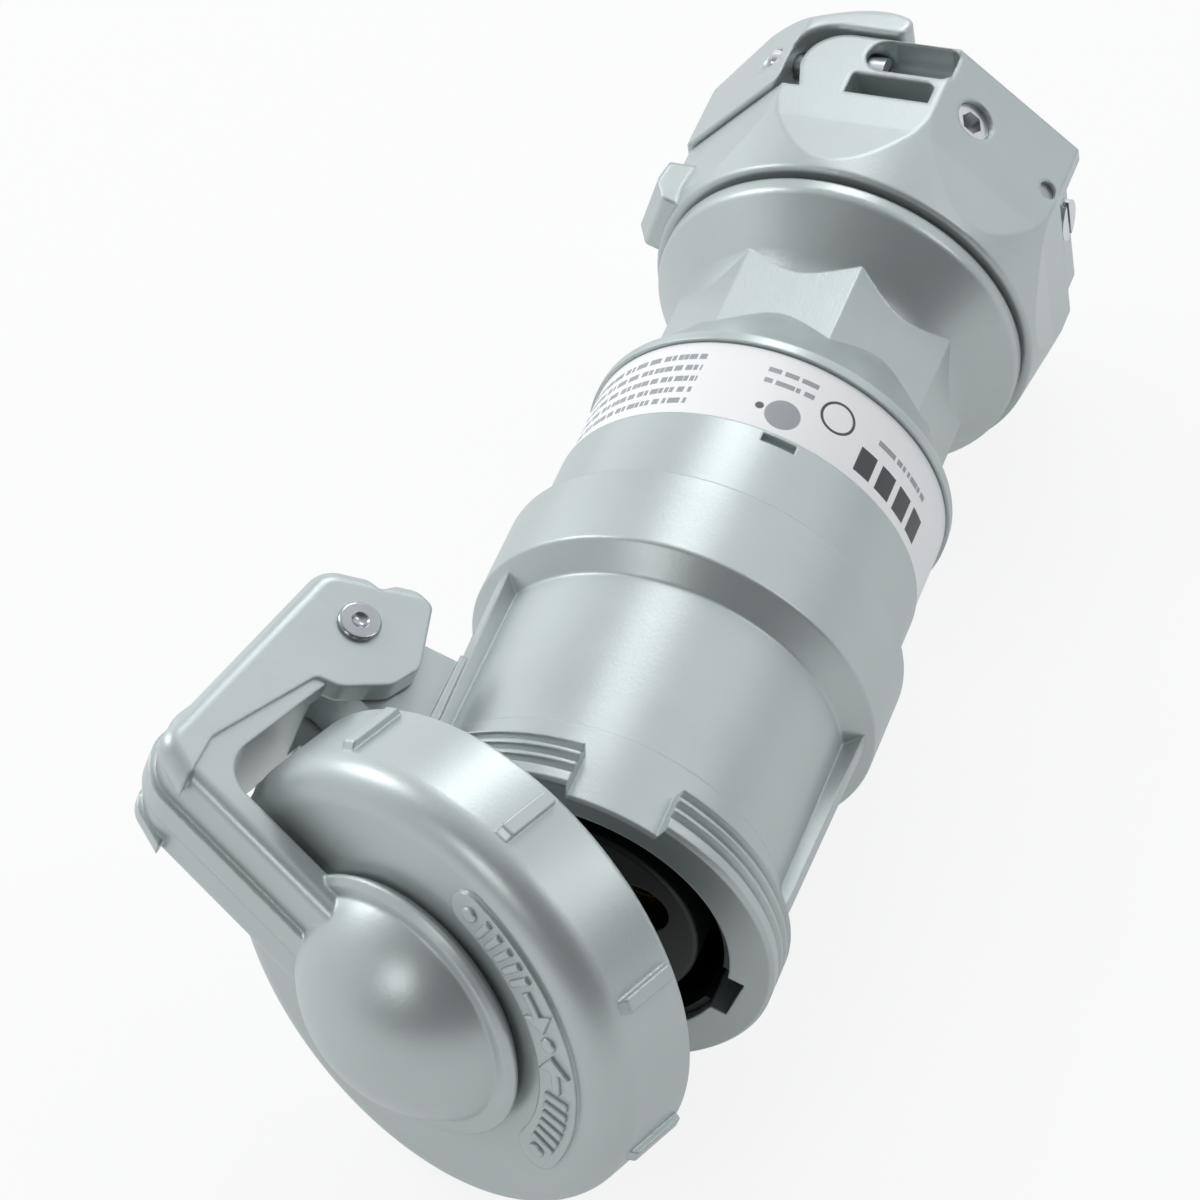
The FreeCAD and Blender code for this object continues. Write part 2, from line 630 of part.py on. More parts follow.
def nut_lug(angle):
    """Wrench lug over one corner of the nut, with a sloping front."""
    side = rounded_face([(NUT_FLAT - 3, NUT_FRONT + 2, 0), (NUT_LUG_R - 2.5, NUT_FRONT + 2, 1),
                         (NUT_LUG_R, NUT_FRONT + 6, 1), (NUT_LUG_R - 0.6, NUT_LUG_END - 3, 1),
                         (NUT_FLAT - 3, NUT_LUG_END, 0)])
    side.translate(V(0, 0, -NUT_LUG_W / 2))
    return about_y(side.extrude(V(0, 0, NUT_LUG_W)), angle)


def clamp_block_room():
    """Space behind the nut's shoulder that the fixed clamp block doesn't fill."""
    left = box(-60, BLOCK_FACE_X, NUT_SHOULDER, BLOCK_END + 1, -60, 60)
    finger_keep = []
    for side in (1, -1):
        outline = [(FINGER_TIP_X + 2, NUT_SHOULDER - 1, 0), (BLOCK_FACE_X + 1, NUT_SHOULDER - 1, 0),
                   (BLOCK_FACE_X + 1, BLOCK_END + 2, 0), (FINGER_ROOT_X, BLOCK_END + 2, 0),
                   (FINGER_ROOT_X, BLOCK_END, 0), (FINGER_TIP_X, BLOCK_END, 8),
                   (FINGER_TIP_X, FINGER_FRONT, 2)]
        low, high = sorted((side * FINGER_INNER_Z, side * 60))
        finger_keep.append(plate(outline, low, high))
    return left.cut(finger_keep)


def finger_recess(side):
    """Pocket between the nut's shoulder and the front of a finger."""
    outline = [(FINGER_ROOT_X, NUT_SHOULDER, 0), (GROOVE_END_X - 2, NUT_SHOULDER, 0),
               (GROOVE_END_X - 2, FINGER_FRONT, 2), (FINGER_ROOT_X, FINGER_FRONT, 1)]
    low, high = sorted((side * (CLAMP_Z - 4), side * 60))
    return plate(outline, low, high)


def screw_groove(side):
    """Open groove in a finger, round at its end, for a clamp screw's head and driver."""
    z = side * CLAMP_Z
    trough = rod_x(GROOVE_HALF, CLAMP_SEAT_X, GROOVE_END_X, CLAMP_Y, z)
    low, high = sorted((z, z + side * 20))
    round_end = GROOVE_HALF - 0.1
    mouth = plate([(CLAMP_SEAT_X + 0.5, CLAMP_Y - GROOVE_HALF, round_end),
                   (GROOVE_END_X, CLAMP_Y - GROOVE_HALF, 2),
                   (GROOVE_END_X, CLAMP_Y + GROOVE_HALF, 2),
                   (CLAMP_SEAT_X + 0.5, CLAMP_Y + GROOVE_HALF, round_end)], low, high)
    shank = rod_x(CLAMP_SCREW_R + SLIP_FIT, FINGER_TIP_X - 1, CLAMP_SEAT_X + 1, CLAMP_Y, z)
    return [trough, mouth, shank]


def flat_hole(offset, radius, depth, y):
    """Blind hole square to the nut's upper right flat."""
    normal = polar(1, 45, 0)
    across = polar(1, 135, 0)
    foot = normal * (NUT_FLAT - depth) + across * offset + V(0, y, 0)
    return Part.makeCylinder(radius, depth + 2, foot, normal)


def gland_nut():
    """Gland nut with the fixed half of the cable clamp cast on its back."""
    body = nut_body().fuse(nut_lug(LUG_ANGLE))
    cuts = [rod(SPIGOT_R + SLIP_FIT, NUT_FRONT - 1, NUT_WALL_FRONT),
            rod(CABLE_R, NUT_WALL_FRONT - 1, NUT_SHOULDER + 1),
            rod(SADDLE_R, NUT_SHOULDER, BLOCK_END + 1), clamp_block_room(),
            flat_hole(LOCK_OFFSET, LOCK_R, LOCK_LEN + LOCK_SINK, LOCK_Y),
            flat_hole(GUIDE_PIN_OFFSET, PIN_HOLE_R, PIN_LEN + PIN_SINK, GUIDE_PIN_Y),
            box(NUT_FLAT - SIDE_DEPTH, NUT_FLAT + 5, SIDE_Y0, BLOCK_END + 1, -60, SIDE_Z1),
            rod_x(SIDE_SCREW_R, NUT_FLAT - SIDE_DEPTH - SIDE_SCREW_LEN, NUT_FLAT, SIDE_SCREW_Y,
                  SIDE_SCREW_Z)]
    for side in (1, -1):
        cuts.append(finger_recess(side))
        cuts += screw_groove(side)
    return body.cut(cuts).removeSplitter()


def on_flat(radius, offset, sink, length, y):
    """Plug in a hole that is square to the nut's upper right flat."""
    normal = polar(1, 45, 0)
    across = polar(1, 135, 0)
    foot = normal * (NUT_FLAT - sink - length) + across * offset + V(0, y, 0)
    return Part.makeCylinder(radius, length, foot, normal)


def hex_socket(width, offset, sink, depth, y):
    """Six-sided recess in the head of the lock screw."""
    corner = width / math.sqrt(3)
    points = [V(corner * math.cos(math.radians(60 * i)), corner * math.sin(math.radians(60 * i)), 0)
              for i in range(7)]
    prism = Part.Face(Part.makePolygon(points)).extrude(V(0, 0, depth + 1))
    prism.rotate(ORIGIN, ALONG_Y, 45)
    normal = polar(1, 45, 0)
    foot = normal * (NUT_FLAT - sink - depth) + polar(1, 135, 0) * offset + V(0, y, 0)
    prism.translate(foot)
    return prism


def lock_screw():
    """Set screw in the nut's flat that locks the nut."""
    body = on_flat(LOCK_R - RUN_FIT, LOCK_OFFSET, LOCK_SINK, LOCK_LEN - 0.1, LOCK_Y)
    return body.cut(hex_socket(LOCK_KEY_W, LOCK_OFFSET, LOCK_SINK, LOCK_KEY_DEPTH, LOCK_Y))


def guide_pin():
    """Small pin pressed into the nut's flat."""
    return on_flat(PIN_HOLE_R - PRESS_PLAY, GUIDE_PIN_OFFSET, PIN_SINK, PIN_LEN - 0.1, GUIDE_PIN_Y)


def hook_jaw():
    """Moving half of the clamp: a saddle with a hooked finger over each screw."""
    far = -60
    outline = [(far, JAW_FRONT, 0), (JAW_FACE_X, JAW_FRONT, 1.0),
               (JAW_FACE_X, HOOK_INNER_Y, 8), (HOOK_TIP_X, HOOK_INNER_Y, 1.2),
               (HOOK_TIP_X + 1.5, HOOK_INNER_Y + 4.2, 1.8), (HOOK_TIP_X - 8.4, HOOK_OUTER_Y, 8),
               (JAW_FACE_X - 5.5, HOOK_OUTER_Y - 1, 10), (far, HOOK_OUTER_Y - 2 * HOOK_T, 0)]
    body = plate(outline, -JAW_FLAT, JAW_FLAT)
    prism = octagon(JAW_FLAT, JAW_FRONT - 1, HOOK_OUTER_Y + 1)
    round_end = turned([(0, JAW_FRONT - 1, 0), (JAW_FLAT + 4, JAW_FRONT - 1, 0),
                        (JAW_FLAT + 4, HOOK_INNER_Y, 0), (JAW_FLAT - 2, HOOK_OUTER_Y, 3),
                        (0, HOOK_OUTER_Y + 0.5, 0)])
    cuts = [rod(SADDLE_R, JAW_FRONT - 2, HOOK_OUTER_Y + 2),
            box(JAW_FACE_X, 20, JAW_FRONT - 1, HOOK_OUTER_Y + 2, -FINGER_INNER_Z, FINGER_INNER_Z)]
    for side in (1, -1):
        cuts.append(rod_x(CLAMP_SCREW_R + RUN_FIT, far, HOOK_TIP_X, CLAMP_Y, side * CLAMP_Z))
    return body.common(prism).common(round_end).cut(cuts).removeSplitter()


def clamp_screw(side):
    """Slotted cheese-head screw that draws the jaws together."""
    z = side * CLAMP_Z
    seat = CLAMP_SEAT_X + FACE_GAP
    head = rod_x(CLAMP_HEAD_R, seat, seat + CLAMP_HEAD_L, CLAMP_Y, z)
    shank = rod_x(CLAMP_SCREW_R, seat - CLAMP_SCREW_LEN, seat + 1, CLAMP_Y, z)
    slot = box(seat + CLAMP_HEAD_L - 1.5, seat + CLAMP_HEAD_L + 1, CLAMP_Y - CLAMP_HEAD_R,
               CLAMP_Y + CLAMP_HEAD_R, z - 0.7, z + 0.7)
    return head.fuse(shank).cut(slot).removeSplitter()


def side_screw():
    """Slotted screw in the recess of the nut's right flat."""
    seat = NUT_FLAT - SIDE_DEPTH
    head = rod_x(SIDE_SCREW_HEAD_R, seat, seat + SIDE_SCREW_HEAD_H, SIDE_SCREW_Y, SIDE_SCREW_Z)
    shank = rod_x(SIDE_SCREW_R - 0.02, seat - SIDE_SCREW_LEN + 0.5, seat + 1, SIDE_SCREW_Y,
                  SIDE_SCREW_Z)
    slot = box(seat + SIDE_SCREW_HEAD_H - 1.2, seat + 9, SIDE_SCREW_Y - 0.6, SIDE_SCREW_Y + 0.6,
               SIDE_SCREW_Z - SIDE_SCREW_HEAD_R, SIDE_SCREW_Z + SIDE_SCREW_HEAD_R)
    return head.fuse(shank).cut(slot).removeSplitter()


def hinge_pin():
    """Riveted hinge pin with a domed and dimpled head at each end."""
    top = EAR_TOP + 0.02
    shaft = Part.makeCylinder(PIN_R, 2 * top, V(PIN_X, PIN_Y, -top))
    heads = []
    for side in (1, -1):
        head = Part.makeCylinder(PIN_HEAD_R, PIN_HEAD_H, V(PIN_X, PIN_Y, side * top),
                                 V(0, 0, side))
        rim = [e for e in head.Edges if abs(e.BoundBox.Center.z) > top + PIN_HEAD_H / 2
               and e.Closed]
        head = head.makeFillet(PIN_HEAD_H * 0.6, rim)
        dimple = Part.makeSphere(2.2, V(PIN_X, PIN_Y, side * (top + PIN_HEAD_H + 1.5)))
        heads.append(head.cut(dimple))
    return swing_cover(shaft.fuse(heads).removeSplitter())


def hinge_washers():
    """Two thin washers between the ears and the bracket."""
    washers = []
    for side in (1, -1):
        z = side * (BRACKET_HALF + FACE_GAP / 2)
        washer = Part.makeCylinder(HINGE_WASHER_R, HINGE_WASHER_T, V(PIN_X, PIN_Y, z),
                                   V(0, 0, side))
        hole = Part.makeCylinder(PIN_R + RUN_FIT, 4 * HINGE_WASHER_T,
                                 V(PIN_X, PIN_Y, z - 2 * HINGE_WASHER_T))
        washers.append(washer.cut(hole))
    return swing_cover(Part.makeCompound(washers))


def ear_outline():
    """Side leg of the arm seen along the pin: round ear, notch, horn, leg and tip."""
    return [(PIN_X - EAR_R, PIN_Y + 3.6, 6), (PIN_X - 7, PIN_Y + 8.0, 0),
            (PIN_X - 2.3, PIN_Y + 7.8, 1.6), (PIN_X - 0.8, PIN_Y + HORN_R - 0.9, 1.6),
            (PIN_X + 5.6, PIN_Y + HORN_R - 1.3, 2), (PIN_X + EAR_R + 0.4, PIN_Y + 2.3, 4),
            (PIN_X + EAR_R - 0.2, PIN_Y - 4.2, 4), (PIN_X + 7, PIN_Y - 11.9, 4),
            (ARM_INNER_X + 0.5, PIN_Y - 13.7, 2), (ARM_INNER_X - 2, BAR_BACK + 3, 3),
            (LEG_TIP_X, LEG_TIP_Y, 0), (LEG_CORNER_X, LEG_CORNER_Y, 5)]


def fork_half():
    """Half of the free width between the two ears."""
    return BRACKET_HALF + HINGE_WASHER_T + FACE_GAP


def ear(side):
    """One ear of the fork with its leg, rounded along the outer edge."""
    low, high = sorted((side * fork_half(), side * EAR_TOP))
    shape = plate(ear_outline(), low, high)
    outer = [e for e in shape.Edges
             if abs(e.BoundBox.Center.z - side * EAR_TOP) < 1e-6
             and e.BoundBox.XMax < LEG_TIP_X + 0.1 and e.BoundBox.XMin < PIN_X - EAR_R / 2
             and e.BoundBox.YMin < PIN_Y + 7.5]
    return shape.makeFillet(LEG_ROUND, outer)


def bar_outline(proud):
    """Outline of the L-shaped bar: leg heel, rounded corner and bar to the hub."""
    outer = ARM_HEEL_X - proud
    front = BAR_FRONT - proud
    return [(outer, LEG_TOP_Y, 0), (outer, front, BAR_CORNER_R + proud), (0, front, 0),
            (0, BAR_BACK, 0), (WEB_INNER_X, BAR_BACK, WEB_INNER_R), (WEB_INNER_X, LEG_TOP_Y, 0)]


def bar_with_round_edges():
    """The L-shaped bar, with its long front edges rounded all the way round the corner."""
    body = plate(bar_outline(0), -BAR_HALF, BAR_HALF)
    heel = ARM_HEEL_X
    edges = [e for e in body.Edges
             if abs(abs(e.BoundBox.Center.z) - BAR_HALF) < 1e-6
             and (e.BoundBox.XMin < heel + BAR_CORNER_R * 0.9 or e.BoundBox.YMax < BAR_FRONT + 0.1)
             and (e.BoundBox.XMax < heel + 0.1 or e.BoundBox.YMax < BAR_FRONT + BAR_CORNER_R + 0.1)
             and e.BoundBox.YMin < BAR_BACK - 0.5]
    return body.makeFillet(BAR_EDGE, edges)


def cover_arm():
    """Cover arm: forked ears, ribbed bar round the corner and the domed hub."""
    half = fork_half()
    fork = Part.makeCylinder(EAR_R + 4, 2 * half, V(PIN_X, PIN_Y, -half))
    rib = plate(bar_outline(RIB_PROUD), -RIB_HALF, RIB_HALF)
    hub = turned([(0, HUB_BACK, 0), (HUB_R, HUB_BACK, 0),
                  (HUB_LIP_R, HUB_BACK - HUB_LIP_T, 0.6),
                  (HUB_R, HUB_BACK - HUB_LIP_T - 1.2, 0), (DOME_R, HUB_TOP, 0), (0, HUB_TOP, 0)])
    foot = HUB_TOP + 0.5
    ball_r = (DOME_R ** 2 + DOME_H ** 2) / (2 * DOME_H)
    ball = Part.makeSphere(ball_r, V(0, foot - DOME_H + ball_r, 0))
    dome = ball.common(rod(DOME_R, foot - DOME_H - 1, foot))
    boss_end = pivot_stack()[1]
    boss = rod(PIVOT_R - RUN_FIT, HUB_BACK - 1, boss_end)
    web = bar_with_round_edges().fuse(rib).cut(fork)
    arm = web.fuse([ear(1), ear(-1), hub, dome, boss])
    hole = Part.makeCylinder(PIN_R + PRESS_PLAY, 4 * EAR_TOP, V(PIN_X, PIN_Y, -2 * EAR_TOP))
    tap = rod(TAP_R, boss_end + PIVOT_WASHER_T - PIVOT_SCREW_LEN - TAP_RUNOUT, boss_end + 1)
    return swing_cover(arm.cut([hole, tap]).removeSplitter())


def grip(angle):
    """Short raised bar along the cap's skirt."""
    y1 = CAP_RIM_Y - 1.2
    side = rounded_face([(CAP_R - 1, y1, 0), (CAP_R + GRIP_H, y1 - 0.6, 0),
                         (CAP_R + GRIP_H, y1 - GRIP_LEN, 0.8), (CAP_R - 1, y1 - GRIP_LEN - 2, 0)])
    side.translate(V(0, 0, -GRIP_W / 2))
    return about_y(side.extrude(V(0, 0, GRIP_W)), angle)


def cap_panel():
    """Raised curved panel on the cap's face for the direction marks."""
    top = CAP_FACE_Y - PANEL_H
    foot = CAP_FACE_Y + 0.5
    full = ring(PANEL_R0, PANEL_R1, top, foot)
    mid = (PANEL_R0 + PANEL_R1) / 2
    half = (PANEL_R1 - PANEL_R0) / 2
    strip = full.common(sector(PANEL_R1 + 1, top - 1, foot + 1, PANEL_FROM, PANEL_TO))
    ends = []
    for angle in (PANEL_FROM, PANEL_TO):
        c = polar(mid, angle, 0)
        ends.append(rod(half, top, foot, c.x, c.z))
    return strip.fuse(ends)


def cap_shell():
    """Cover cap: cup with a rounded edge, grips, an inner thread and a pivot hole."""
    inner = CAP_R - CAP_WALL
    floor_y = CAP_FACE_Y + CAP_FACE_T
    outer = turned([(0, CAP_FACE_Y, 0), (CAP_R, CAP_FACE_Y, CAP_EDGE_R), (CAP_R, CAP_RIM_Y, 0.8),
                    (0, CAP_RIM_Y, 0)])
    room = turned([(0, floor_y, 0), (inner, floor_y, 3), (inner, CAP_RIM_Y + 1, 0),
                   (0, CAP_RIM_Y + 1, 0)])
    lug_y = CAP_RIM_Y - 2
    band = ring(CAP_LUG_R, inner + 1, lug_y - CAP_LUG_T, lug_y)
    half = CAP_LUG_SPAN / 2
    lugs = [band.common(sector(CAP_R, lug_y - CAP_LUG_T, lug_y, a - half, a + half))
            for a in (THREAD_GAP_AT, THREAD_GAP_AT + 180)]
    grips = [grip(GRIP_START + 360 / GRIP_COUNT * i) for i in range(GRIP_COUNT)]
    body = outer.fuse(grips + [cap_panel()]).cut(room).fuse(lugs)
    return swing_cover(body.cut(rod(PIVOT_R, CAP_FACE_Y - 2, floor_y + 2)).removeSplitter())


def cap_gasket():
    """Rubber ring inside the cap that seals on the mouth's face."""
    y0 = CAP_FACE_Y + CAP_FACE_T
    return swing_cover(ring(GASKET_IN, CAP_R - CAP_WALL - GASKET_PLAY, y0, y0 + GASKET_T))


def pivot_stack():
    """Inner face of the cap's wall, and the end of the pivot behind it."""
    return CAP_FACE_Y + CAP_FACE_T, HUB_BACK + PIVOT_LEN


def cap_spring_washer():
    """Dished spring washer that presses the cap to the hub."""
    wall, boss_end = pivot_stack()
    y0 = wall + 0.2
    y1 = boss_end - 0.1
    r_in, r_out = PIVOT_R + SPRING_PLAY, PIVOT_R + SPRING_W
    return swing_cover(turned([(r_in, y1 - SPRING_T, 0), (r_in, y1, 0),
                               (r_out, y0 + SPRING_T, 0), (r_out, y0, 0)]))


def pivot_washer():
    """Plain washer on the end of the pivot."""
    boss_end = pivot_stack()[1]
    return swing_cover(ring(PIVOT_WASHER_HOLE, PIVOT_WASHER_R, boss_end,
                            boss_end + PIVOT_WASHER_T))


def pivot_screw():
    """Screw that holds the cap on the hub's pivot."""
    y = pivot_stack()[1] + PIVOT_WASHER_T
    top = y + PIVOT_HEAD_H
    head = rod(PIVOT_HEAD_R, y, top)
    shank = rod(TAP_R - PRESS_PLAY, y - PIVOT_SCREW_LEN, y + 0.5)
    long, short = CROSS_HALF, CROSS_W / 2
    cross = [box(-long, long, top - CROSS_DEPTH, top + 1, -short, short),
             box(-short, short, top - CROSS_DEPTH, top + 1, -long, long)]
    return swing_cover(head.fuse(shank).cut(cross).removeSplitter())


def main():
    """Build every piece and write one file for each."""
    pieces = {
        "front_sleeve": front_sleeve(),
        "rear_housing": rear_housing(),
        "label_band": label_band(),
        "insulator_liner": insulator_liner(),
        "insulator_block": insulator_block(),
        "contact_sockets": contact_sockets(),
        "terminal_screws": terminal_screws(),
        "terminal_guard": terminal_guard(),
        "retaining_ring": retaining_ring(),
        "housing_gasket": housing_gasket(),
        "cable_bushing": cable_bushing(),
        "gland_washer": gland_washer(),
        "gland_nut": gland_nut(),
        "lock_screw": lock_screw(),
        "guide_pin": guide_pin(),
        "hook_jaw": hook_jaw(),
        "clamp_screw_upper": clamp_screw(1),
        "clamp_screw_lower": clamp_screw(-1),
        "side_screw": side_screw(),
        "hinge_pin": hinge_pin(),
        "hinge_washers": hinge_washers(),
        "cover_arm": cover_arm(),
        "cap_shell": cap_shell(),
        "cap_gasket": cap_gasket(),
        "cap_spring_washer": cap_spring_washer(),
        "pivot_washer": pivot_washer(),
        "pivot_screw": pivot_screw(),
    }
    for name, shape in pieces.items():
        shape.exportStep("parts/" + name + ".step")
        b = shape.BoundBox
        print(name, len(shape.Solids), round(shape.Volume), shape.isValid(),
              [round(v, 1) for v in (b.XMin, b.YMin, b.ZMin, b.XMax, b.YMax, b.ZMax)])


main()
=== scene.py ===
"""Looks of the industrial cable coupler: cast finishes, small cast details, label and light.

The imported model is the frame. Lengths in the dataclasses are millimetres in the
frame of the drawing, where the hinge pin is upright and the cover is shut; Hinge
turns such points to where the pieces stand. Everything in the scene is in metres.
"""
import logging
import math
from dataclasses import dataclass, field
from enum import Enum

import bmesh
import bpy
from mathutils import Matrix, Vector


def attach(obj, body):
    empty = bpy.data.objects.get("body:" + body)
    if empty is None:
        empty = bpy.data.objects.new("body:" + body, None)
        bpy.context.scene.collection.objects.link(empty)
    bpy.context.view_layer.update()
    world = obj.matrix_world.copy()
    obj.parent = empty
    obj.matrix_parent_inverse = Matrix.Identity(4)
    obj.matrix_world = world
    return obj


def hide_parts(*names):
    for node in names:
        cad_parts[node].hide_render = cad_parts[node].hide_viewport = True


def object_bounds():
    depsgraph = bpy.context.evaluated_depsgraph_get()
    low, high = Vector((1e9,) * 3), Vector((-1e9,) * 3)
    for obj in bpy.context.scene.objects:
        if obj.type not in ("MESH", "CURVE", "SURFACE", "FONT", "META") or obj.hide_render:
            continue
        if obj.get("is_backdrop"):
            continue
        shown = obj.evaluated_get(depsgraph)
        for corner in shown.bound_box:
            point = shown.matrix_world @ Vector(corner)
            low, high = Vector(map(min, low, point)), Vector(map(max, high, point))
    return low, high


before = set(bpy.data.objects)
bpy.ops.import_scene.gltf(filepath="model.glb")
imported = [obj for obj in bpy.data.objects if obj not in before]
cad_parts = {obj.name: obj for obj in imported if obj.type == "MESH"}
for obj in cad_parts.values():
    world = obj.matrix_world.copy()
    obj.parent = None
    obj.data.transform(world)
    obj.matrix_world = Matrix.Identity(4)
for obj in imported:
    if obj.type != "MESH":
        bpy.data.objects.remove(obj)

LOG = logging.getLogger("cable_coupler")
MM = 0.001
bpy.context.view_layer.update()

Colour = tuple[float, float, float, float]
Point = tuple[float, float, float]


class Body(Enum):
    """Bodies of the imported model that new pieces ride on."""

    JAW = "jaw"
    CAP = "cap"


class Slot(Enum):
    """Names of material slots for new pieces, carried along but not used by the script."""

    JAW = "cast_jaw"
    CAP = "cast_cap"


class Metal(Enum):
    """Kinds of bare metal, each with its colour and roughness."""

    ZINC = ((0.74, 0.76, 0.78, 1.0), 0.24)
    STEEL = ((0.47, 0.49, 0.52, 1.0), 0.16)
    SPRING = ((0.52, 0.53, 0.55, 1.0), 0.34)
    BRASS = ((0.82, 0.62, 0.27, 1.0), 0.27)


def tinted(colour: Colour, factor: float) -> Colour:
    """Make a colour lighter or darker.

    Args:
        colour: the colour to start from.
        factor: what its red, green and blue are multiplied by.

    Returns:
        The new colour, with no channel above 1.
    """
    return tuple(min(c * factor, 1.0) for c in colour[:3]) + (1.0,)


class Graph:
    """Adds nodes to one tree and joins their sockets."""

    def __init__(self, tree: bpy.types.NodeTree) -> None:
        """Keep the tree.

        Args:
            tree: the material's or group's own tree.
        """
        self.tree = tree

    def add(self, kind: str, **settings: object) -> bpy.types.Node:
        """Add a node.

        Args:
            kind: the node's type name.
            settings: attributes of the node itself.

        Returns:
            The new node.
        """
        node = self.tree.nodes.new(kind)
        for name, value in settings.items():
            setattr(node, name, value)
        return node

    def feed(self, socket: bpy.types.NodeSocket, value: object) -> None:
        """Join a socket to another one, or set its own value.

        Args:
            socket: the input to fill.
            value: an output socket, or a plain number or colour.
        """
        if isinstance(value, bpy.types.NodeSocket):
            self.tree.links.new(value, socket)
        else:
            socket.default_value = value

    def maths(self, operation: str, *values: object, clamp: bool = False) -> bpy.types.NodeSocket:
        """Add a Math node.

        Args:
            operation: the operation's name.
            values: sockets or numbers, in order.
            clamp: keep the result between 0 and 1.

        Returns:
            The result's socket.
        """
        node = self.add("ShaderNodeMath", operation=operation, use_clamp=clamp)
        for socket, value in zip(node.inputs, values):
            self.feed(socket, value)
        return node.outputs[0]

    def noise(self, vector: object, scale: object, detail: float = 2.0,
              rough: float = 0.5) -> bpy.types.NodeSocket:
        """Add a noise texture.

        Args:
            vector: where the noise is read.
            scale: number of features in a metre.
            detail: octaves.
            rough: strength of the finer octaves.

        Returns:
            The noise value's socket.
        """
        node = self.add("ShaderNodeTexNoise")
        self.feed(node.inputs["Vector"], vector)
        self.feed(node.inputs["Scale"], scale)
        node.inputs["Detail"].default_value = detail
        node.inputs["Roughness"].default_value = rough
        return node.outputs["Fac"]

    def span(self, value: object, low: float, high: float, to_low: object = 0.0,
             to_high: object = 1.0, smooth: bool = True) -> bpy.types.NodeSocket:
        """Map one range of numbers onto another.

        Args:
            value: the number to map.
            low: start of the range that is read.
            high: end of the range that is read.
            to_low: result at the start.
            to_high: result at the end.
            smooth: ease in and out between the ends.

        Returns:
            The mapped number's socket.
        """
        kind = "SMOOTHSTEP" if smooth else "LINEAR"
        node = self.add("ShaderNodeMapRange", interpolation_type=kind)
        for name, number in zip(("Value", "From Min", "From Max", "To Min", "To Max"),
                                (value, low, high, to_low, to_high)):
            self.feed(node.inputs[name], number)
        return node.outputs["Result"]

    def blend(self, factor: object, first: object, second: object,
              kind: str = "MIX") -> bpy.types.NodeSocket:
        """Mix two colours.

        Args:
            factor: share of the second colour.
            first: the first colour.
            second: the second colour.
            kind: the blend type.

        Returns:
            The mixed colour's socket.
        """
        node = self.add("ShaderNodeMix", data_type="RGBA", blend_type=kind)
        self.feed(node.inputs["Factor"], factor)
        self.feed(node.inputs[6], first)
        self.feed(node.inputs[7], second)
        return node.outputs[2]


@dataclass(frozen=True)
class Port:
    """One named input or output of a shader group."""

    name: str
    kind: str = "NodeSocketFloat"
    value: object = None


class ShaderGroup:
    """A node group with named sockets, built once and placed in many materials."""

    name = "group"
    inputs: tuple[Port, ...] = ()
    outputs: tuple[Port, ...] = ()

    def __init__(self) -> None:
        """Make the tree, its sockets and its nodes."""
        self.tree = bpy.data.node_groups.new(self.name, "ShaderNodeTree")
        for port in self.inputs:
            socket = self.tree.interface.new_socket(port.name, in_out="INPUT",
                                                    socket_type=port.kind)
            if port.value is not None:
                socket.default_value = port.value
        for port in self.outputs:
            self.tree.interface.new_socket(port.name, in_out="OUTPUT", socket_type=port.kind)
        graph = Graph(self.tree)
        source = graph.add("NodeGroupInput")
        result = graph.add("NodeGroupOutput")
        for name, value in self.build(graph, source.outputs).items():
            graph.feed(result.inputs[name], value)

    def build(self, graph: Graph, given: bpy.types.NodeOutputs) -> dict[str, object]:
        """Add the group's nodes.

        Args:
            graph: helper for the group's tree.
            given: the group's inputs.

        Returns:
            The socket for each output's name.
        """
        raise NotImplementedError

    def place(self, graph: Graph, **values: object) -> bpy.types.NodeOutputs:
        """Put the group in a material.

        Args:
            graph: helper for the material's tree.
            values: a socket or number for each input, underscores for spaces.

        Returns:
            The placed group's outputs.
        """
        node = graph.add("ShaderNodeGroup", node_tree=self.tree)
        for name, value in values.items():
            graph.feed(node.inputs[name.replace("_", " ")], value)
        return node.outputs


class CastGrain(ShaderGroup):
    """Fine grain of a sprayed coat over a cast skin, with slow mottling under it."""

    name = "cast_grain"
    inputs = (Port("Scale", value=900.0), Port("Cast Share", value=0.5),
              Port("Seed", "NodeSocketVector", (0.0, 0.0, 0.0)))
    outputs = (Port("Height"), Port("Mottle"), Port("Speck"))
    coarse_share = 0.16
    mottle_scale = 34.0
    speck_scale = 2600.0

    def build(self, graph: Graph, given: bpy.types.NodeOutputs) -> dict[str, object]:
        """Add the grain's nodes; see ShaderGroup.build."""
        where = graph.add("ShaderNodeVectorMath", operation="ADD")
        graph.feed(where.inputs[0], graph.add("ShaderNodeTexCoord").outputs["Object"])
        graph.feed(where.inputs[1], given["Seed"])
        place = where.outputs[0]
        spray = graph.noise(place, given["Scale"], 3.0, 0.6)
        wide = graph.maths("MULTIPLY", given["Scale"], self.coarse_share)
        coarse = graph.noise(place, wide, 2.0, 0.5)
        cast = graph.maths("MULTIPLY", coarse, given["Cast Share"])
        height = graph.maths("ADD", spray, cast)
        mottle = graph.noise(place, self.mottle_scale, 4.0, 0.55)
        speck = graph.span(graph.noise(place, self.speck_scale, 1.0, 0.4), 0.66, 0.74)
        return {"Height": height, "Mottle": mottle, "Speck": speck}


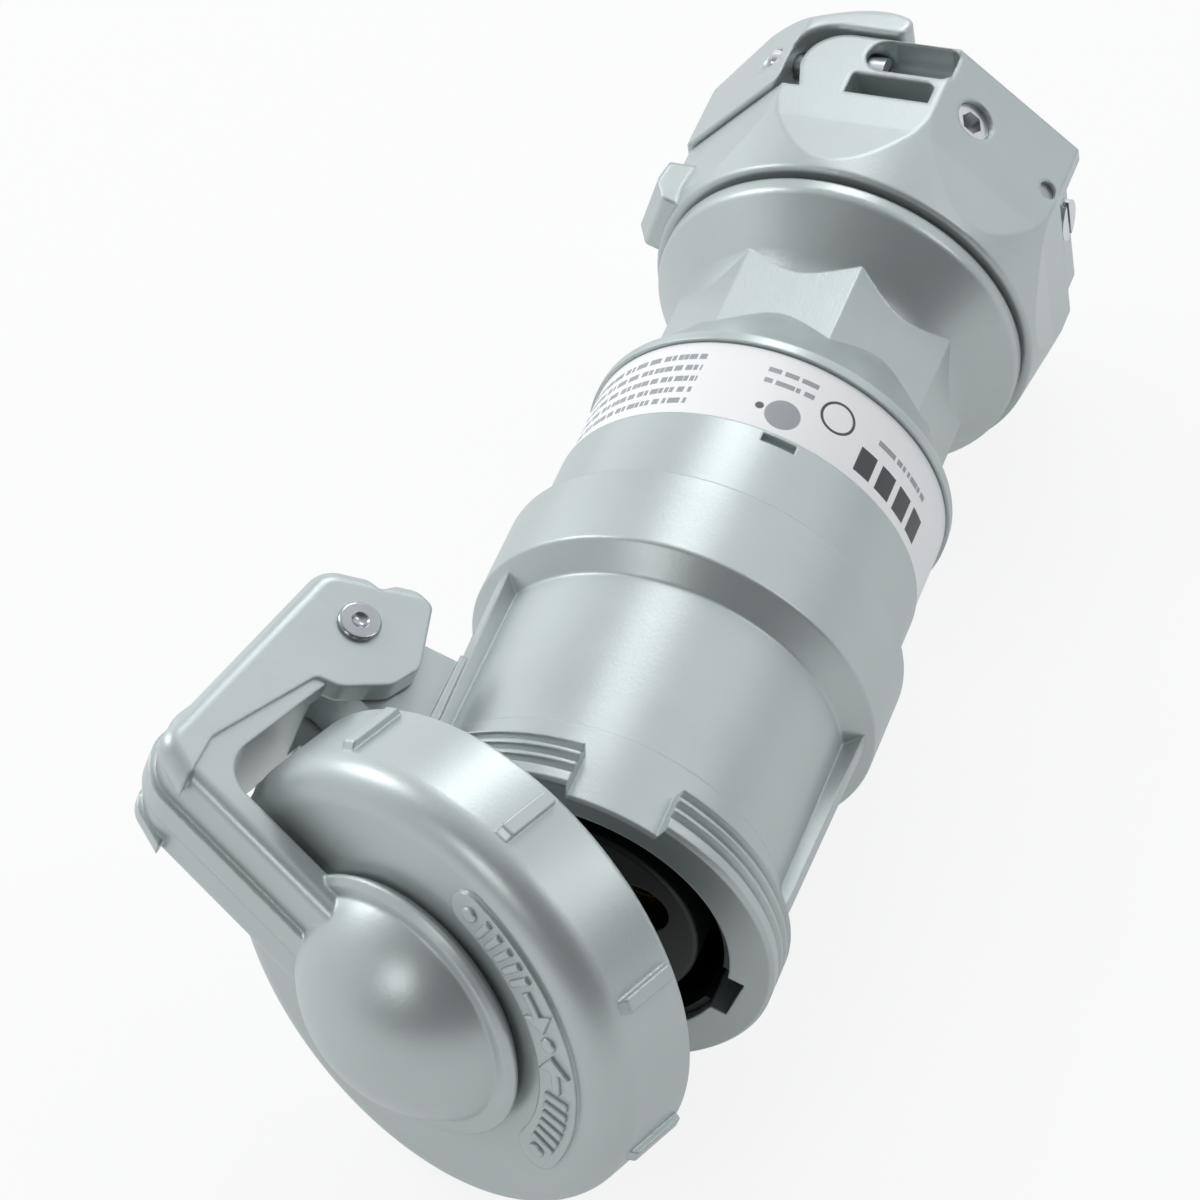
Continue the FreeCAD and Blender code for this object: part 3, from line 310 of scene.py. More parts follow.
class SoftEdge(ShaderGroup):
    """Rounds sharp edges for the light and tells where they are."""

    name = "soft_edge"
    inputs = (Port("Radius", value=0.0005),)
    outputs = (Port("Normal", "NodeSocketVector"), Port("Edge"))

    def build(self, graph: Graph, given: bpy.types.NodeOutputs) -> dict[str, object]:
        """Add the edge's nodes; see ShaderGroup.build."""
        bevel = graph.add("ShaderNodeBevel", samples=6)
        graph.feed(bevel.inputs["Radius"], given["Radius"])
        dot = graph.add("ShaderNodeVectorMath", operation="DOT_PRODUCT")
        graph.feed(dot.inputs[0], bevel.outputs[0])
        graph.feed(dot.inputs[1], graph.add("ShaderNodeNewGeometry").outputs["Normal"])
        edge = graph.span(dot.outputs["Value"], 0.995, 0.80)
        return {"Normal": bevel.outputs[0], "Edge": edge}


class EdgeWearAndHighlight(ShaderGroup):
    """Lightens a finish along its edges and breaks the line up: painted edge highlight on the cast coats,
    edge wear on metal and mouldings.
    """

    name = "edge_wear_and_highlight"
    inputs = (Port("Coat", "NodeSocketColor"), Port("Under", "NodeSocketColor"),
              Port("Edge"), Port("Amount", value=0.3), Port("Scale", value=500.0))
    outputs = (Port("Colour", "NodeSocketColor"), Port("WornAndLit"))

    def build(self, graph: Graph, given: bpy.types.NodeOutputs) -> dict[str, object]:
        """Add the nodes of the edge wear and painted edge highlight; see ShaderGroup.build."""
        place = graph.add("ShaderNodeTexCoord").outputs["Object"]
        broken = graph.span(graph.noise(place, given["Scale"], 4.0, 0.6), 0.36, 0.62)
        worn_and_lit = graph.maths("MULTIPLY", graph.maths("MULTIPLY", given["Edge"], broken),
                           given["Amount"])
        return {"Colour": graph.blend(worn_and_lit, given["Coat"], given["Under"]), "WornAndLit": worn_and_lit}


class TurnedLines(ShaderGroup):
    """Fine circular tool marks round an axis that runs along Y in a piece's own frame."""

    name = "turned_lines"
    inputs = (Port("Pitch", value=2500.0), Port("Centre", "NodeSocketVector", (0.0, 0.0, 0.0)))
    outputs = (Port("Height"),)

    def build(self, graph: Graph, given: bpy.types.NodeOutputs) -> dict[str, object]:
        """Add the marks' nodes; see ShaderGroup.build."""
        place = graph.add("ShaderNodeVectorMath", operation="SUBTRACT")
        graph.feed(place.inputs[0], graph.add("ShaderNodeTexCoord").outputs["Object"])
        graph.feed(place.inputs[1], given["Centre"])
        length = graph.add("ShaderNodeVectorMath", operation="LENGTH")
        graph.feed(length.inputs[0], place.outputs[0])
        rings = graph.maths("MULTIPLY", length.outputs["Value"], given["Pitch"])
        line = graph.add("ShaderNodeTexNoise", noise_dimensions="1D")
        graph.feed(line.inputs["W"], rings)
        line.inputs["Scale"].default_value = 1.0
        line.inputs["Detail"].default_value = 3.0
        return {"Height": line.outputs["Fac"]}


@dataclass
class Groups:
    """The shared shader groups, each built once."""

    grain: CastGrain = field(default_factory=CastGrain)
    edge: SoftEdge = field(default_factory=SoftEdge)
    wear_and_highlight: EdgeWearAndHighlight = field(default_factory=EdgeWearAndHighlight)
    turned: TurnedLines = field(default_factory=TurnedLines)


class Finish:
    """A finish that can make its own material."""

    name: str

    def material(self, groups: Groups) -> bpy.types.Material:
        """Make the material.

        Args:
            groups: the shared shader groups.

        Returns:
            The new material.
        """
        material = bpy.data.materials.new(self.name)
        material.use_nodes = True
        graph = Graph(material.node_tree)
        shader = material.node_tree.nodes["Principled BSDF"]
        self.dress(graph, shader, groups)
        return material

    def dress(self, graph: Graph, shader: bpy.types.Node, groups: Groups) -> None:
        """Add the finish's nodes.

        Args:
            graph: helper for the material's tree.
            shader: the material's surface shader.
            groups: the shared shader groups.
        """
        raise NotImplementedError

    @staticmethod
    def bump(graph: Graph, shader: bpy.types.Node, height: object, depth: float,
             normal: object = None, strength: float = 1.0) -> None:
        """Give the shader a bump.

        Args:
            graph: helper for the material's tree.
            shader: the surface shader.
            height: the bump's height, 0 to 1.
            depth: depth in metres of a height of 1.
            normal: a normal to start from.
            strength: how much of the bump is used.
        """
        node = graph.add("ShaderNodeBump")
        node.inputs["Strength"].default_value = strength
        node.inputs["Distance"].default_value = depth
        graph.feed(node.inputs["Height"], height)
        if normal is not None:
            graph.feed(node.inputs["Normal"], normal)
        graph.feed(shader.inputs["Normal"], node.outputs["Normal"])


@dataclass(frozen=True)
class CastCoat(Finish):
    """Satin grey-blue coat baked on a casting, a little metallic, with a painted highlight along its
    edges.
    """

    name: str
    colour: Colour = (0.515, 0.565, 0.562, 1.0)
    # Lighter colour painted along the edges: a painted edge highlight.
    edge_highlight_colour: Colour = (0.74, 0.78, 0.78, 1.0)
    metallic: float = 0.60
    rough: float = 0.35
    grain_scale: float = 1500.0
    grain_depth: float = 0.000022
    cast_share: float = 0.8
    edge_radius: float = 0.0006
    # Strength of the painted edge highlight.
    wear_and_highlight: float = 0.35
    seed: Point = (0.0, 0.0, 0.0)
    dark: float = 0.965
    light: float = 1.03
    smoother: float = 0.03
    rougher: float = 0.04

    def dress(self, graph: Graph, shader: bpy.types.Node, groups: Groups) -> None:
        """Add the coat's nodes; see Finish.dress."""
        grain = groups.grain.place(graph, Scale=self.grain_scale, Cast_Share=self.cast_share,
                                   Seed=self.seed)
        edge = groups.edge.place(graph, Radius=self.edge_radius)
        base = graph.blend(graph.span(grain["Mottle"], 0.3, 0.7),
                           tinted(self.colour, self.dark), tinted(self.colour, self.light))
        # Edges blend toward the lighter edge colour: a painted edge highlight, broken up by noise.
        worn_and_lit = groups.wear_and_highlight.place(graph, Coat=base, Under=self.edge_highlight_colour, Edge=edge["Edge"],
                                 Amount=self.wear_and_highlight)
        graph.feed(shader.inputs["Base Color"], worn_and_lit["Colour"])
        shader.inputs["Metallic"].default_value = self.metallic
        rough = graph.span(grain["Mottle"], 0.25, 0.75, self.rough - self.smoother,
                           self.rough + self.rougher)
        graph.feed(shader.inputs["Roughness"], rough)
        shader.inputs["Specular IOR Level"].default_value = 0.5
        self.bump(graph, shader, grain["Height"], self.grain_depth, edge["Normal"])


@dataclass(frozen=True)
class BareMetal(Finish):
    """Plated or bare turned metal."""

    name: str
    metal: Metal
    centre: Point = (0.0, 0.0, 0.0)
    pitch: float = 5200.0
    line_depth: float = 0.000006
    edge_radius: float = 0.00018
    dull: float = 0.80
    bright: float = 1.15
    wear_and_highlight: float = 0.6
    smoother: float = 0.04
    rougher: float = 0.08

    def dress(self, graph: Graph, shader: bpy.types.Node, groups: Groups) -> None:
        """Add the metal's nodes; see Finish.dress."""
        colour, rough = self.metal.value
        grain = groups.grain.place(graph, Scale=2400.0, Cast_Share=0.2, Seed=self.centre)
        edge = groups.edge.place(graph, Radius=self.edge_radius)
        lines = groups.turned.place(graph, Pitch=self.pitch, Centre=self.centre)
        base = graph.blend(graph.span(grain["Mottle"], 0.35, 0.65),
                           tinted(colour, self.dull), colour)
        worn_and_lit = groups.wear_and_highlight.place(graph, Coat=base, Under=tinted(colour, self.bright),
                                 Edge=edge["Edge"], Amount=self.wear_and_highlight)
        graph.feed(shader.inputs["Base Color"], worn_and_lit["Colour"])
        shader.inputs["Metallic"].default_value = 1.0
        graph.feed(shader.inputs["Roughness"],
                   graph.span(grain["Mottle"], 0.3, 0.7, rough - self.smoother,
                              rough + self.rougher))
        self.bump(graph, shader, lines["Height"], self.line_depth, edge["Normal"])


@dataclass(frozen=True)
class Moulding(Finish):
    """Moulded plastic or rubber with a fine matte skin."""

    name: str
    colour: Colour
    rough: float = 0.5
    grain_scale: float = 1800.0
    grain_depth: float = 0.00002
    speck_colour: Colour = (0.06, 0.06, 0.06, 1.0)
    speck_share: float = 0.35
    edge_radius: float = 0.0003
    light: float = 1.35
    wear_and_highlight: float = 0.3
    rough_play: float = 0.06

    def dress(self, graph: Graph, shader: bpy.types.Node, groups: Groups) -> None:
        """Add the moulding's nodes; see Finish.dress."""
        grain = groups.grain.place(graph, Scale=self.grain_scale, Cast_Share=0.3)
        edge = groups.edge.place(graph, Radius=self.edge_radius)
        base = graph.blend(graph.span(grain["Mottle"], 0.3, 0.7), self.colour,
                           tinted(self.colour, self.light))
        flecked = graph.blend(graph.maths("MULTIPLY", grain["Speck"], self.speck_share), base,
                              self.speck_colour)
        worn_and_lit = groups.wear_and_highlight.place(graph, Coat=flecked, Under=self.speck_colour,
                                 Edge=edge["Edge"], Amount=self.wear_and_highlight)
        graph.feed(shader.inputs["Base Color"], worn_and_lit["Colour"])
        graph.feed(shader.inputs["Roughness"],
                   graph.span(grain["Mottle"], 0.3, 0.7, self.rough - self.rough_play,
                              self.rough + self.rough_play))
        self.bump(graph, shader, grain["Height"], self.grain_depth, edge["Normal"])


@dataclass(frozen=True)
class Rows:
    """Rows of short ruled dashes: two angles, where each row starts, height and pattern."""

    turns: tuple[float, float]
    stations: tuple[float, ...]
    height: float
    seed: float


@dataclass(frozen=True)
class PrintedBand(Finish):
    """White satin label with plain ruled fields and blocks, and no words.

    Places are an angle round the axis in degrees and a station on it in millimetres.
    """

    name: str = "label_print"
    paper: Colour = (0.97, 0.97, 0.975, 1.0)
    ink: Colour = (0.06, 0.065, 0.07, 1.0)
    pale_ink: Colour = (0.30, 0.32, 0.34, 1.0)
    pale_share: float = 0.9
    fields: tuple[Rows, ...] = (
        Rows((100.0, 150.0), (90.8, 93.6, 96.4, 99.2, 102.0), 1.35, 21.0),
        Rows((64.0, 80.0), (99.0, 101.6), 1.1, 33.0),
        Rows((14.0, 40.0), (99.0,), 1.2, 47.0),
    )
    pale_disc: Point = (70.5, 93.0, 3.3)
    dot: Point = (78.0, 93.4, 0.8)
    circle: tuple[float, float, float, float] = (55.0, 98.2, 3.5, 0.55)
    bold: tuple[float, ...] = (11.0, 20.0, 29.0, 38.0)
    bold_turn: float = 6.6
    bold_stations: tuple[float, float] = (90.6, 96.2)
    paper_rough: float = 0.42
    ink_rough: float = 0.34
    grain_scale: float = 2200.0
    grain_depth: float = 0.000012

    def dress(self, graph: Graph, shader: bpy.types.Node, groups: Groups) -> None:
        """Add the label's nodes; see Finish.dress."""
        parts = graph.add("ShaderNodeSeparateXYZ")
        graph.feed(parts.inputs[0], graph.add("ShaderNodeTexCoord").outputs["Object"])
        turn = graph.maths("DEGREES", graph.maths("ARCTAN2", parts.outputs["Z"],
                                                  parts.outputs["X"]))
        along = graph.maths("MULTIPLY", parts.outputs["Y"], 1000.0)
        band = Print(graph, turn, along)
        grey = band.disc(*self.pale_disc)
        for rows in self.fields:
            grey = graph.maths("MAXIMUM", grey, band.rows(rows))
        dark = graph.maths("MAXIMUM", band.ring(*self.circle), band.disc(*self.dot))
        for start in self.bold:
            block = band.block((start, start + self.bold_turn), self.bold_stations)
            dark = graph.maths("MAXIMUM", dark, block)
        base = graph.blend(graph.maths("MULTIPLY", grey, self.pale_share), self.paper,
                           self.pale_ink)
        graph.feed(shader.inputs["Base Color"], graph.blend(dark, base, self.ink))
        grain = groups.grain.place(graph, Scale=self.grain_scale, Cast_Share=0.1)
        graph.feed(shader.inputs["Roughness"],
                   graph.span(dark, 0.0, 1.0, self.paper_rough, self.ink_rough))
        self.bump(graph, shader, grain["Height"], self.grain_depth)


class Print:
    """Fields printed on a band, as masks over an angle and a station."""

    radius = 34.35
    turn_edge = 0.12
    along_edge = 0.07
    disc_edge = 0.1
    row_shift = 7.0
    dash_scale = 0.55
    dash_cut = (0.37, 0.41)

    def __init__(self, graph: Graph, turn: bpy.types.NodeSocket,
                 along: bpy.types.NodeSocket) -> None:
        """Keep the two coordinates.

        Args:
            graph: helper for the material's tree.
            turn: angle round the axis, degrees.
            along: station on the axis, millimetres.
        """
        self.graph = graph
        self.turn = turn
        self.along = along

    def between(self, value: bpy.types.NodeSocket, low: float, high: float,
                edge: float) -> bpy.types.NodeSocket:
        """Mask that is 1 between two values.

        Args:
            value: the coordinate.
            low: where the mask starts.
            high: where it ends.
            edge: softness of its edge.

        Returns:
            The mask's socket.
        """
        rise = self.graph.span(value, low - edge, low + edge)
        fall = self.graph.span(value, high + edge, high - edge)
        return self.graph.maths("MULTIPLY", rise, fall)

    def block(self, turns: tuple[float, float], stations: tuple[float, float]
              ) -> bpy.types.NodeSocket:
        """Filled rectangle.

        Args:
            turns: its two angles, degrees.
            stations: its two stations, millimetres.

        Returns:
            The mask's socket.
        """
        return self.graph.maths("MULTIPLY", self.between(self.turn, *turns, self.turn_edge),
                                self.between(self.along, *stations, self.along_edge))

    def away(self, turn: float, station: float) -> bpy.types.NodeSocket:
        """Distance on the band from a point, in millimetres.

        Args:
            turn: the point's angle, degrees.
            station: its station, millimetres.

        Returns:
            The distance's socket.
        """
        graph = self.graph
        across = graph.maths("MULTIPLY", graph.maths("SUBTRACT", self.turn, turn),
                             math.radians(self.radius))
        up = graph.maths("SUBTRACT", self.along, station)
        square = graph.maths("ADD", graph.maths("MULTIPLY", across, across),
                             graph.maths("MULTIPLY", up, up))
        return graph.maths("SQRT", square)

    def disc(self, turn: float, station: float, radius: float) -> bpy.types.NodeSocket:
        """Filled disc round a point.

        Args:
            turn: the point's angle, degrees.
            station: its station, millimetres.
            radius: the disc's radius, millimetres.

        Returns:
            The mask's socket.
        """
        return self.graph.span(self.away(turn, station), radius + self.disc_edge,
                               radius - self.disc_edge)

    def ring(self, turn: float, station: float, radius: float, line: float
             ) -> bpy.types.NodeSocket:
        """Circle round a point.

        Args:
            turn: the point's angle, degrees.
            station: its station, millimetres.
            radius: the circle's outer radius, millimetres.
            line: width of its line, millimetres.

        Returns:
            The mask's socket.
        """
        inner = self.disc(turn, station, radius - line)
        return self.graph.maths("SUBTRACT", self.disc(turn, station, radius), inner, clamp=True)

    def rows(self, lines: Rows) -> bpy.types.NodeSocket:
        """Rows of short ruled dashes.

        Args:
            lines: where they lie and how their pattern is read.

        Returns:
            The mask's socket.
        """
        graph = self.graph
        total: object = 0.0
        for index, start in enumerate(lines.stations):
            shift = lines.seed + self.row_shift * index
            dashes = graph.add("ShaderNodeTexNoise", noise_dimensions="1D")
            graph.feed(dashes.inputs["W"], graph.maths("ADD", self.turn, shift))
            dashes.inputs["Scale"].default_value = self.dash_scale
            dashes.inputs["Detail"].default_value = 0.0
            cut = graph.span(dashes.outputs["Fac"], *self.dash_cut)
            whole = self.block(lines.turns, (start, start + lines.height))
            total = graph.maths("MAXIMUM", total, graph.maths("MULTIPLY", cut, whole))
        return total


@dataclass(frozen=True)
class Hinge:
    """Where the cover stands: drawn shut about the main axis, then swung and rolled."""

    roll: float = 25.5
    ajar: float = 22.0
    pin_x: float = -54.0
    pin_y: float = 27.1

    def rolled(self) -> Matrix:
        """Return the turn that leans the hinge to its place."""
        return Matrix.Rotation(math.radians(self.roll), 4, "Y")

    def swung(self) -> Matrix:
        """Return the whole move of the cover from shut and upright, in metres."""
        pin = Matrix.Translation(Vector((self.pin_x, self.pin_y, 0.0)) * MM)
        open_up = Matrix.Rotation(math.radians(-self.ajar), 4, "Z")
        return self.rolled() @ pin @ open_up @ pin.inverted()


class Mesh:
    """Grows one mesh from prisms in millimetres and turns it into a piece."""

    chamfer_start = 0.62

    def __init__(self) -> None:
        """Start an empty mesh."""
        self.bm = bmesh.new()

    def prism(self, outline: list[Point], foot: list[Point], inset: float = 0.0) -> None:
        """Add a closed prism between two rings of points.

        Args:
            outline: the top ring.
            foot: the bottom ring, point for point.
            inset: chamfer of the top edge, towards the ring's middle.
        """
        low = [self.bm.verts.new(p) for p in foot]
        rings = [low]
        if inset > 0:
            shoulder = [Vector(a).lerp(Vector(b), self.chamfer_start)
                        for a, b in zip(foot, outline)]
            rings.append([self.bm.verts.new(p) for p in shoulder])
            outline = self.shrunk(outline, inset)
        rings.append([self.bm.verts.new(p) for p in outline])
        for lower, upper in zip(rings, rings[1:]):
            for i, vertex in enumerate(lower):
                j = (i + 1) % len(lower)
                self.bm.faces.new((vertex, lower[j], upper[j], upper[i]))
        self.bm.faces.new(rings[-1])
        self.bm.faces.new(list(reversed(low)))

    @staticmethod
    def shrunk(ring: list[Point], inset: float) -> list[Vector]:
        """Move each point of a ring inwards.

        Args:
            ring: points in order.
            inset: how far each goes, square to its neighbours' line.

        Returns:
            The new points.
        """
        points = [Vector(p) for p in ring]
        middle = sum(points, Vector()) / len(points)
        normal = Vector()
        for i, point in enumerate(points):
            normal += (points[i - 1] - middle).cross(point - middle)
        normal.normalize()
        moved = []
        for i, point in enumerate(points):
            along = (points[(i + 1) % len(points)] - points[i - 1]).normalized()
            inward = normal.cross(along)
            moved.append(point + inward * inset)
        return moved

    def piece(self, name: str, move: Matrix, material: bpy.types.Material, body: Body) -> bpy.types.Object:
        """Finish the mesh as a piece of the object.

        Args:
            name: the piece's name.
            move: where it goes, after its points are scaled to metres.
            material: its finish.
            body: the body it rides on.

        Returns:
            The new object.
        """
        bmesh.ops.recalc_face_normals(self.bm, faces=self.bm.faces)
        mesh = bpy.data.meshes.new(name)
        self.bm.to_mesh(mesh)
        self.bm.free()
        mesh.transform(move @ Matrix.Scale(MM, 4))
        mesh.materials.append(material)
        made = bpy.data.objects.new(name, mesh)
        bpy.context.scene.collection.objects.link(made)
        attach(made, body.value)
        LOG.info("%s: %d faces on %s", name, len(mesh.polygons), body.value)
        return made


@dataclass
class PanelMarks:
    """Raised arrows, dots and bars on the cap's panel, in the cap's drawn frame."""

    face_y: float = -10.9
    sink: float = 0.1
    height: float = 0.6
    inner_r: float = 31.2
    outer_r: float = 34.8
    shaft_inset: float = 1.0
    head_half: float = 3.3
    head_turn: float = 6.0
    chamfer: float = 0.2
    step: float = 2.0
    arrows: tuple[tuple[float, float], ...] = ((22.0, 36.0), (58.0, 44.0))
    dots: tuple[float, ...] = (-9.5, 40.0, 85.5)
    dot_r: float = 1.5
    dot_corners: int = 20
    bars: tuple[float, ...] = (-4.0, 0.5, 5.0, 9.5, 14.0, 18.5, 61.5, 66.0, 70.5, 75.0, 79.5)
    bar_half: float = 0.7
    bar_reach: float = 0.6

    @property
    def middle_r(self) -> float:
        """Radius of the panel's middle line."""
        return (self.inner_r + self.outer_r) / 2

    @staticmethod
    def polar(radius: float, degrees: float, y: float) -> Point:
        """Place a point by its radius and angle.

        Args:
            radius: its distance from the cap's axis.
            degrees: its angle from +X towards +Z.
            y: its station on the axis.

        Returns:
            The point.
        """
        angle = math.radians(degrees)
        return (radius * math.cos(angle), y, radius * math.sin(angle))

    def raised(self, mesh: Mesh, ring: list[tuple[float, float]]) -> None:
        """Raise one closed outline off the panel.

        Args:
            mesh: the mesh to add to.
            ring: radius and angle of each corner.
        """
        foot = [self.polar(r, a, self.face_y + self.sink) for r, a in ring]
        top = [self.polar(r, a, self.face_y - self.height) for r, a in ring]
        mesh.prism(top, foot, self.chamfer)

    def arrow(self, mesh: Mesh, start: float, end: float) -> None:
        """Raise an arrow that follows the panel's curve.

        Args:
            mesh: the mesh to add to.
            start: angle of its tail.
            end: angle of its point.
        """
        neck = end - math.copysign(self.head_turn, end - start)
        count = max(2, round(abs(neck - start) / self.step))
        turns = [start + (neck - start) * i / count for i in range(count + 1)]
        ring = [(self.inner_r + self.shaft_inset, a) for a in turns]
        ring += [(self.middle_r - self.head_half, neck), (self.middle_r, end),
                 (self.middle_r + self.head_half, neck)]
        ring += [(self.outer_r - self.shaft_inset, a) for a in reversed(turns)]
        self.raised(mesh, ring)

    def dot(self, mesh: Mesh, degrees: float) -> None:
        """Raise a round dot on the panel's middle line.

        Args:
            mesh: the mesh to add to.
            degrees: the dot's angle.
        """
        x, _, z = self.polar(self.middle_r, degrees, 0.0)
        ring = []
        for i in range(self.dot_corners):
            turn = math.tau * i / self.dot_corners
            across = x + self.dot_r * math.cos(turn)
            up = z + self.dot_r * math.sin(turn)
            ring.append((math.hypot(across, up), math.degrees(math.atan2(up, across))))
        self.raised(mesh, ring)

    def bar(self, mesh: Mesh, degrees: float) -> None:
        """Raise a bar that crosses the panel.

        Args:
            mesh: the mesh to add to.
            degrees: the bar's angle.
        """
        half = math.degrees(self.bar_half / self.middle_r)
        inner = self.inner_r - self.bar_reach
        outer = self.outer_r + self.bar_reach
        self.raised(mesh, [(inner, degrees - half), (outer, degrees - half),
                           (outer, degrees + half), (inner, degrees + half)])

    def build(self, hinge: Hinge, material: bpy.types.Material) -> None:
        """Make the marks as one piece on the cap.

        Args:
            hinge: where the cover stands.
            material: the cap's finish.
        """
        mesh = Mesh()
        for start, end in self.arrows:
            self.arrow(mesh, start, end)
        for angle in self.dots:
            self.dot(mesh, angle)
        for angle in self.bars:
            self.bar(mesh, angle)
        mesh.piece("panel_marks", hinge.swung(), material, Body.CAP)


@dataclass
class SoftCasting:
    """A casting's own solid with its hard edges rounded as sand or a die leaves them."""

    node: str
    body: Body
    slot: Slot
    voxel: float = 0.45
    rounds: int = 6
    ease: float = 0.5

    def build(self, material: bpy.types.Material) -> bpy.types.Object:
        """Remake the solid's skin and stand it in for the node.

        Args:
            material: the casting's finish.

        Returns:
            The new object.
        """
        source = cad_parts[self.node]
        name = self.node + "_casting"
        made = bpy.data.objects.new(name, source.data.copy())
        bpy.context.scene.collection.objects.link(made)
        remesh = made.modifiers.new("skin", "REMESH")
        remesh.mode = "VOXEL"
        remesh.voxel_size = self.voxel * MM
        remesh.adaptivity = 0.0
        smooth = made.modifiers.new("rounds", "SMOOTH")
        smooth.factor = self.ease
        smooth.iterations = self.rounds
        depsgraph = bpy.context.evaluated_depsgraph_get()
        mesh = bpy.data.meshes.new_from_object(made.evaluated_get(depsgraph))
        made.modifiers.clear()
        made.data = mesh
        mesh.materials.clear()
        mesh.materials.append(material)
        mesh.shade_smooth()
        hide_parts(self.node)
        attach(made, self.body.value)
        LOG.info("%s: %d faces on %s", name, len(mesh.polygons), self.body.value)
        return made


@dataclass
class Dressing:
    """Which finish each node of the model gets."""

    groups: Groups
    finishes: dict[str, Finish]
    made: dict[str, bpy.types.Material] = field(default_factory=dict)

    def material(self, node: str) -> bpy.types.Material:
        """Find a node's material, made on first use.

        Args:
            node: the node's name.

        Returns:
            The material, which nodes of the same finish share.
        """
        finish = self.finishes[node]
        if finish.name not in self.made:
            self.made[finish.name] = finish.material(self.groups)
        return self.made[finish.name]

    def apply(self) -> None:
        """Put each node's material in its slots."""
        for node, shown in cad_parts.items():
            material = self.material(node)
            for slot in shown.material_slots:
                slot.material = material
            LOG.info("%s wears %s", node, material.name)


def coupler_finishes() -> dict[str, Finish]:
    """Return the finish of every node."""
    body = CastCoat("coat_sleeve")
    rear = CastCoat("coat_rear", seed=(0.3, 0.1, 0.0))
    nut = CastCoat("coat_nut", seed=(0.0, 0.4, 0.2), edge_radius=0.0012)
    jaw = CastCoat("coat_jaw", seed=(0.5, 0.0, 0.3), edge_radius=0.0008)
    arm = CastCoat("coat_arm", seed=(0.2, 0.6, 0.0), edge_radius=0.0009)
    cap = CastCoat("coat_cap", seed=(0.7, 0.2, 0.5))
    black = Moulding("insulator", (0.010, 0.012, 0.013, 1.0), rough=0.48,
                     speck_colour=(0.035, 0.038, 0.04, 1.0))
    rubber = Moulding("rubber", (0.014, 0.014, 0.015, 1.0), rough=0.72, grain_depth=0.00004,
                      speck_colour=(0.05, 0.05, 0.05, 1.0))
    fibre = Moulding("fibre", (0.16, 0.035, 0.018, 1.0), rough=0.66, grain_scale=700.0,
                     speck_colour=(0.33, 0.12, 0.07, 1.0))
    zinc = BareMetal("zinc_plate", Metal.ZINC)
    pin = BareMetal("riveted_steel", Metal.STEEL, (-0.0431, 0.0271, 0.0352), 1500.0)
    spring = BareMetal("spring_steel", Metal.SPRING)
    brass = BareMetal("brass", Metal.BRASS)
    return {
        "front_sleeve": body, "rear_housing": rear, "label_band": PrintedBand(),
        "insulator_liner": black, "insulator_block": black, "contact_sockets": brass,
        "terminal_screws": zinc, "terminal_guard": fibre, "retaining_ring": spring,
        "housing_gasket": rubber, "cable_bushing": rubber, "gland_washer": zinc,
        "gland_nut": nut, "lock_screw": zinc, "guide_pin": spring, "hook_jaw": jaw,
        "clamp_screw_upper": zinc, "clamp_screw_lower": zinc, "side_screw": zinc,
        "hinge_pin": pin, "hinge_washers": zinc, "cover_arm": arm, "cap_shell": cap,
        "cap_gasket": rubber, "cap_spring_washer": spring, "pivot_washer": zinc,
        "pivot_screw": zinc,
    }


@dataclass(frozen=True)
class Glow:
    """A soft patch of light on the room's walls.

    Its middle lies toward a direction by the camera's own axes, and it fades out at
    its reach in degrees.
    """

    toward: Point
    reach: float
    level: float


@dataclass(frozen=True)
class Lamp:
    """A soft rectangular lamp: its place by the camera's own axes, size in metres and watts."""

    name: str
    place: Point
    size: tuple[float, float]
    power: float


